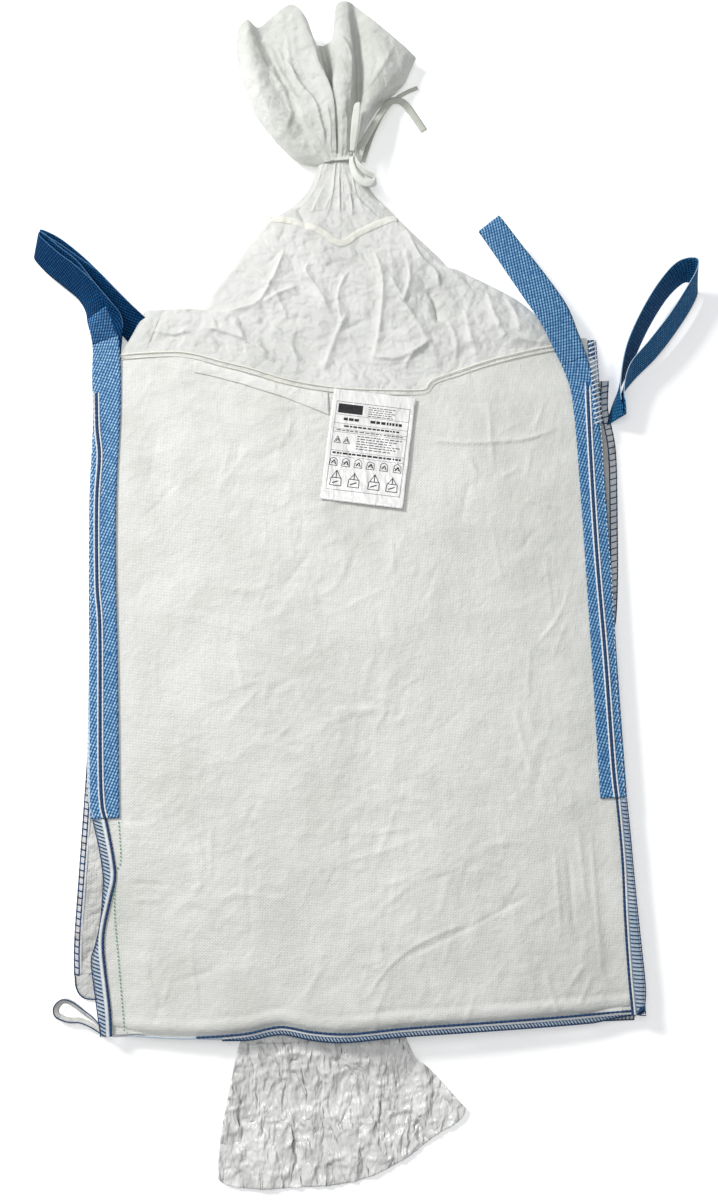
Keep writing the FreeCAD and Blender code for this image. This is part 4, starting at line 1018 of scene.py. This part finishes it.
def build_bottom():
    """Bottom seam, the bottom wall folded inside it, and the knot of thread at its right end."""
    x = np.linspace(-446, 462, 400)
    seam_y = along_at(BOTTOM_SEAM, x)
    height = wall_height(x) - 8
    seam = np.column_stack([x, seam_y - 1.0, height + 1.0])
    drop = np.interp(x, [-446, -290, -240, -190, -60, 0, 380, 436, 462], [3, 4, 8, 12, 14, 13, 14, 8, 6])
    edge = np.column_stack([x, seam_y - drop, height - 1.0])
    flange_strip("bottom_front_flange", seam, edge, PALE_BAND, ["bottom_seam_front"], 0.8, 3)
    keep = x > -250
    band("bottom_band", seam[keep] + (0, -3.2, 1.6), (0, 1.0, 0), 3.2, 0.6)
    overlock("bottom_front_edge", seam[keep] - (0, 5.0, -0.6), edge[keep] - (0, 1.0, -0.6), 5.6,
             ["bottom_overlock_front"], 0.9, 1.0)
    line = resample(seam[x > -292], 600) + (0, 0.6, 3.0)
    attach(add_chain("bottom_chain", line, 2.1, 8, BLUE_THREAD), "bag")
    back_in = np.column_stack([x, np.full(400, -598.0), np.full(400, 2.4)])
    back_out = np.column_stack([x * 0.985, np.where(x < -250, -605.0, -611.0), np.full(400, 1.6)])
    flange_strip("bottom_back_flange", back_in, back_out, FLANGE_CLOTH, ["bottom_seam_back"], 0.4, 9)
    overlock("bottom_back_edge", (back_in - (0, 6, -0.4))[keep], (back_out - (0, 1, 0))[keep], 6.5,
             ["bottom_overlock_back"], 0.6, 0.7)
    s, t = np.meshgrid(np.linspace(-1, 1, 60), np.linspace(0, 1, 50))
    fold = 1 - np.abs(2 * t - 1)
    panel = np.stack([s * 430, -596 + 425 * fold,
                      18 + 13.5 * np.sign(2 * t - 1) * np.abs(2 * t - 1) ** 0.6
                      + 1.2 * noise(s * 430, t * 300, 70, 91) * fold], -1)
    bottom = add_sheet("bottom_wall", panel, CLOTH, ["bottom_panel"],
                       np.stack([s * 430, t * 860], -1))
    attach(bottom, "bag")
    mess = np.random.default_rng(8)
    q = np.linspace(0, 1, 70)
    knot = np.column_stack([460 + 5.5 * np.sin(11 * q) + mess.normal(0, 0.3, 70), -591 + 5.5 * np.cos(9 * q),
                            39.5 + 2 * np.sin(17 * q)])
    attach(add_threads("corner_knot_thread", [knot], 1.7, BLUE_THREAD,
                        ["corner_knot"]), "bag")


CORNER_LOOP = [
    (-450, -585, 33, 0, .6, .8, 9), (-470, -570, 24, 0, .6, .8, 9), (-486, -560, 14, .3, .7, .6, 10),
    (-506, -545, 10, .4, .7, .6, 11), (-521, -541, 10, .1, .8, .6, 11), (-533, -551, 10, -.8, .3, .5, 11),
    (-531, -565, 10, -.5, -.7, .5, 11), (-512, -573, 10, .1, -.8, .6, 11),
    (-490, -574, 12, .2, -.8, .6, 10), (-470, -580, 24, .2, -.7, .7, 9), (-450, -592, 33, .2, -.7, .7, 9)]


def build_corner_loop():
    """Small loop of overlocked seam end at the lower left corner."""
    loop = strap("corner_loop_tape", CORNER_LOOP, SHADED_BACK_CLOTH, ["corner_loop"], 1.6, 3, 4)
    line = spline([s[:3] for s in CORNER_LOOP], 120)
    wide = spline([s[3:6] for s in CORNER_LOOP], 120)
    rim = line + wide * 4.8 / np.linalg.norm(wide, axis=1)[:, None] + UP * 0.6
    edge = add_chain("corner_loop_edge", rim, 1.2, 4, BLUE_THREAD)
    for piece in (loop, edge):
        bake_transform(piece)


# ---- top seam, label

LABEL_TOP, LABEL_TURN = (56, 497, 58.8), -9.4  # the middle of its top edge, and degrees
LABEL_HALF, LABEL_LENGTH, PRINT_LIFT = 74, 204, 0.35


def build_top_seam():
    """Tape and stitches of the top seam, sunk a little where the label turns over it."""
    x = np.linspace(-402, 432, 420)
    y = along_at(TOP_SEAM, x)
    z = wall_height(x) + 1.6 * np.clip(wall_height(x) / 50, 0, 1)
    z -= 1.2 * ease((120 - np.abs(x - LABEL_TOP[0])) / 40)
    line = np.column_stack([x, y + 3, z])
    across = UP * 0.25 - unit(np.cross(np.gradient(line, axis=0), UP))
    grid, uv = ribbon_grid(line, across, 12.0, 8, 1.4)
    x, y = grid[..., 0], grid[..., 1]
    grid[..., 2] += 0.9 * noise(x, y, 9, 95) + 0.8 * noise(x, y, 30, 94)
    tape = add_sheet("top_seam_hem", grid, SEAM_CLOTH, ["top_seam_tape"], uv, 1.0)
    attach(tape, "bag")
    for k, shift in enumerate((-3.9, 3.7)):
        thread = line + across * shift + UP * 1.6
        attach(add_chain(f"top_seam_stitch_{k}", thread, 0.9, 6, SEAM_THREAD, sides=5), "bag")


def build_lap():
    """The lap of cloth that hangs out of the top seam, left of the label."""
    s, t = np.meshgrid(np.linspace(0, 1, 90), np.linspace(0, 1, 14))
    x = -268 + 240 * s
    top = along_at(TOP_SEAM, x) - 3
    hem = np.interp(x, [-268, -243, -187, -109, -28], [552, 546, 528, 498, 461])
    y = top + (hem - top) * t
    z = wall_z(x, y) + 1.1 + 1.2 * np.sin(math.pi * t) + 0.4 * noise(x, y, 28, 96) * t \
        + creases(x, y, [(-186, 552, -196, 522, 1.5, 3), (-120, 528, -128, 500, 1.5, 3)])
    lap = add_sheet("top_seam_lap", np.stack([x, y, z], -1)[::-1], LAP_CLOTH,
                    ["top_seam_flap"], thick=0.5)
    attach(lap, "bag")


def build_spout_seam(cover_top):
    """The bent seam between the cover and the spout."""
    seam = spline([(-128, 848), (-106, 843), (-68, 831), (-29, 811), (0, 789), (18, 792), (36, 805),
                   (70, 821), (100, 834), (112, 834)], 110)
    across = np.column_stack([-np.gradient(seam[:, 1]), np.gradient(seam[:, 0]), np.zeros(110)])
    grid, uv = ribbon_grid(np.column_stack([seam, np.zeros(110)]), across, 15.0, 8)
    arch = (1 - np.linspace(-1, 1, 9) ** 4)[None, :]
    x, y = grid[..., 0], grid[..., 1]
    grid = on_cloth(cover_top, x, y, arch * (1.5 + 0.9 * noise(x, y, 7, 98)) - 0.4)
    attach(add_sheet("spout_seam_hem", grid, SEAM_CLOTH, ["spout_seam_tape"], uv, 0.6), "bag")


def build_ear(cover_top):
    """The crushed ear of cloth at the cover's left corner."""
    rows, cols = cover_top.shape[:2]
    corner = cover_top[2:int(rows * 0.19):2, 1:int(cols * 0.055)]
    high, wide = (np.sin(math.pi * np.linspace(0, 1, n)) ** 0.6 for n in corner.shape[:2])
    crush = (2.6 * crumple(corner[..., 0], corner[..., 1], 16, 97) + 1.6) * high[:, None] * wide - 0.7
    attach(add_sheet("cover_corner", corner + crush[..., None] * UP, COVER_CLOTH, ["cover_ear"],
                      thick=0.8), "bag")


def label_point(u, v, lift=0.0):
    """A point of the label: u to the right of its middle, v down from its top edge, in mm."""
    a = math.radians(LABEL_TURN)
    x = LABEL_TOP[0] + u * math.cos(a) + v * math.sin(a)
    y = LABEL_TOP[1] + u * math.sin(a) - v * math.cos(a)
    curl = 3.0 * ease((v - 150) / 54) * (0.5 + 0.5 * u / LABEL_HALF)
    curl = curl + 1.5 * np.exp(-((u + LABEL_HALF) / 12) ** 2)
    return np.stack([x, y, LABEL_TOP[2] + curl + 0.5 * noise(x, y, 60, 99) + lift], -1)


def build_label():
    """The document label, with bars and signs that stand for its print."""
    u, v = np.meshgrid(np.linspace(-LABEL_HALF, LABEL_HALF, 45), np.linspace(0, LABEL_LENGTH, 60))
    grid = label_point(u, v)[::-1]
    label = add_sheet("label", grid, LABEL, ["document_label"], thick=0.4)
    marks, faces = [], []

    def bar(u0, v0, u1, v1):
        """A printed bar, split along its length so that it follows the label's bend."""
        parts = max(2, int(abs(u1 - u0) / 8) + 2)
        us = np.linspace(u0, u1, parts)
        start = sum(len(m) for m in marks)
        marks.append(np.concatenate([label_point(us, np.full(parts, v), PRINT_LIFT) for v in (v1, v0)]))
        faces.extend([start + k, start + k + 1, start + parts + k + 1, start + parts + k]
                     for k in range(parts - 1))

    def frame_of(u0, v0, u1, v1, w=0.5):
        bar(u0, v0, u1, v0 + w)
        bar(u0, v1 - w, u1, v1)
        bar(u0, v0, u0 + w, v1)
        bar(u1 - w, v0, u1, v1)

    def stroke(points, w=0.8):
        """A printed line through points."""
        for (u0, v0), (u1, v1) in zip(points, points[1:]):
            size = math.hypot(u1 - u0, v1 - v0)
            nu, nv = -(v1 - v0) / size * w / 2, (u1 - u0) / size * w / 2
            start = sum(len(m) for m in marks)
            us = np.array([u0 - nu, u1 - nu, u1 + nu, u0 + nu])
            vs = np.array([v0 - nv, v1 - nv, v1 + nv, v0 + nv])
            marks.append(label_point(us, vs, PRINT_LIFT))
            faces.append([start + 3, start + 2, start + 1, start])

    rng = np.random.default_rng(3)

    def words(u0, v0, u1, height):
        """A row of short bars that stands for print too small to read."""
        at = u0
        while at < u1 - 2:
            size = min(rng.uniform(3, 9), u1 - at)
            bar(at, v0, at + size, v0 + height)
            at += size + rng.uniform(1.2, 2.2)

    frame_of(-66, 22, 66, 184, 0.7)
    bar(-62, 26, -18, 43)
    for k in range(5):
        words(-8, 27 + 4 * k, 40 - 6 * (k % 2), 1.3)
    for v in (46, 62, 72, 78, 112, 122):
        bar(-66, v, 66, v + 0.5)
    words(-50, 51, -22, 5)
    words(-2, 51, 56, 5)
    words(-48, 65, 52, 3)
    words(-60, 74, 60, 1.6)
    for cu in (-56, -40):
        stroke([(cu - 6, 98), (cu, 86), (cu + 6, 98), (cu - 6, 98)], 1.0)
        stroke([(cu - 3, 96), (cu + 1, 90), (cu + 3, 96)], 1.4)
    for k in range(6):
        words(-22, 82 + 4.6 * k, 58 - 9 * (k % 3), 1.5)
    words(-62, 115, 60, 3.4)
    for k, cu in enumerate((-58, -36, -14, 8, 32, 56)):
        stroke([(cu - 7, 140), (cu - 6, 128), (cu, 126 - k % 3), (cu + 6, 129), (cu + 7, 140),
                (cu - 7, 140)], 1.1)
        stroke([(cu - 4, 137), (cu + 1, 130), (cu + 4, 137)], 1.8 + 0.5 * (k % 2))
        stroke([(cu - 6, 132), (cu + 6, 138)], 0.8)
    for k, cu in enumerate((-50, -18, 18, 50)):
        stroke([(cu - 10, 176), (cu - 9, 162), (cu + 9, 162), (cu + 10, 176), (cu - 10, 176)], 1.4)
        stroke([(cu - 8, 162), (cu, 148 + 3 * (k % 2)), (cu + 8, 162)], 1.2)
        stroke([(cu, 149), (cu, 162)], 1.6)
        stroke([(cu - 6, 172), (cu + 5, 167)], 2.0)
    ink = add_mesh("label_print", np.vstack(marks), faces, INK, smooth=False)
    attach(label, "label")
    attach(ink, "label")


# ---- liner

LINER_EDGE = [
    (-215, -606), (-228, -643), (-241, -697), (-254, -754), (-262, -800), (-264, -841), (-250, -852),
    (-220, -858), (-177, -861), (-127, -861), (-79, -860), (-36, -856), (1, -845), (54, -821), (106, -786),
    (137, -770), (154, -755), (158, -744), (136, -719), (110, -689), (91, -669), (81, -662), (72, -648),
    (56, -606)]


def build_liner():
    """Film liner: the tail below the bag, and the parts that stay hidden inside it."""
    step = 2.6
    left = as_function(LINER_EDGE[:6])
    right = as_function(LINER_EDGE[:16:-1])
    bottom = as_function(LINER_EDGE[5:18])
    top = as_function([(-215, -606), (-80, -606), (56, -606)])
    cols, rows = int(330 / step), int(250 / step)
    s, t = np.meshgrid(np.linspace(0, 1, cols), np.linspace(0, 1, rows))
    plan = coons(lambda q: left(1 - q), lambda q: right(1 - q), bottom, top, s, t)
    x, y = plan[..., 0], plan[..., 1]
    fall = ease((1 - t) / 0.45)
    base = 29 - 26 * fall
    ridge = 7 * crumple(x * 1.15 + 0.25 * y, y * 0.55, 46, 120) + 4.5 * crumple(x, y, 27, 124) \
        + 2.2 * crumple(x, y, 14, 128) + 3 * noise(x, y * 0.6, 70, 131)
    inside = 0.35 + 0.65 * ease((1 - t) / 0.15)
    z = np.maximum(base + inside * ridge * 0.9 - 6.0 * (1 - fall), 1.6)
    tail = add_sheet("liner_skirt", np.stack([x, y, z], -1), FILM, ["liner_tail"], thick=0.3)
    lower = np.stack([x * 0.97 - 2, y * 0.995 - 3, np.maximum(z * 0.25 + 0.2, 0.8)], -1)
    lower[..., 2] = np.where(fall < 0.6, np.maximum(z - 6, 1.0), lower[..., 2])
    under = add_sheet("liner_skirt_back", lower[:, ::2][::2], FILM, thick=0.2)
    for obj in (tail, under):
        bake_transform(obj)
    hidden = (("inner_liner", "film", FILM, (-380, 380), (-570, 500), 35.0, 0.6, (0.76, 1.07)),
              ("liner_neck", "film", FILM, (-208, 52), (-621, -230), 28.7, 0.6, (0.26, 0.391)),
              ("discharge_spout", "cloth", SPOUT_CLOTH, (-215, 60), (-592, -215), 28.7, 4.0, (0.275, 0.377)))
    for node, kind, look, xs, ys, height, gap, flat in hidden:
        x, y = np.meshgrid(np.linspace(*xs, 40), np.linspace(*ys, 50))
        z = height + gap * 0.5 + 0.25 * noise(x, y, 60, 140)
        if node == "inner_liner":
            z = np.minimum(z - 2.5 + 9 * np.clip(1 - (x / 380) ** 2, 0, 1), 50)
        obj = add_sheet(f"{node}_{kind}", np.stack([x, y, z], -1), look,
                        [node], thick=max(0.4, gap * 0.5))
        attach(obj, "bag")


# ---- stage

FLOOR_HALF = 9.0
SKY_COLOUR, SKY_STRENGTH = (0.97, 0.985, 1.0, 1), 0.36
LIGHTS_AIM = (0, 0.1, 0)
LIGHTS = (("key", (-3.6, 3.4, 3.7), 1.3, 300, (1.0, 0.99, 0.975)),
          ("overhead", (-0.15, 0.3, 2.6), 1.0, 17, (0.98, 0.99, 1.0)))


def build_stage():
    """A pale floor, a pale sky and soft area lights."""
    look = Look("floor", 0.9, Specular_IOR_Level=0.1, Emission_Color=(1, 1, 1, 1), Emission_Strength=0.3)
    grain = look.noise(look.coordinate("Object"), 3.0, 2.0)
    look.finish(look.ramp(grain, (0.93, 0.93, 0.93), (0.95, 0.95, 0.95)), look.bump(grain, 0.02, 0.001))
    mesh = bpy.data.meshes.new("floor")
    square = [(x * FLOOR_HALF, y * FLOOR_HALF, 0) for x, y in ((-1, -1), (1, -1), (1, 1), (-1, 1))]
    mesh.from_pydata(square, [], [(0, 1, 2, 3)])
    mesh.materials.append(look.material)
    floor = bpy.data.objects.new("floor", mesh)
    scene.collection.objects.link(floor)
    world = bpy.data.worlds.new("studio")
    world.use_nodes = True
    sky = world.node_tree.nodes["Background"].inputs
    sky[0].default_value, sky[1].default_value = SKY_COLOUR, SKY_STRENGTH
    scene.world = world
    for name, place, width, power, colour in LIGHTS:
        data = bpy.data.lights.new(name, "AREA")
        data.size, data.energy, data.color = width, power, colour
        lamp = bpy.data.objects.new(name, data)
        lamp.location = place
        lamp.rotation_euler = (Vector(LIGHTS_AIM) - Vector(place)).to_track_quat("-Z", "Y").to_euler()
        scene.collection.objects.link(lamp)
    scene.view_settings.view_transform = "Standard"


build_tails()
build_front_wall()
build_back_wall()
cover_top = build_cover()
build_flare()
build_ties()
build_straps()
build_side_seams()
build_back_seams()
build_bottom()
build_corner_loop()
build_top_seam()
build_lap()
build_spout_seam(cover_top)
build_ear(cover_top)
build_label()
build_liner()
build_stage()
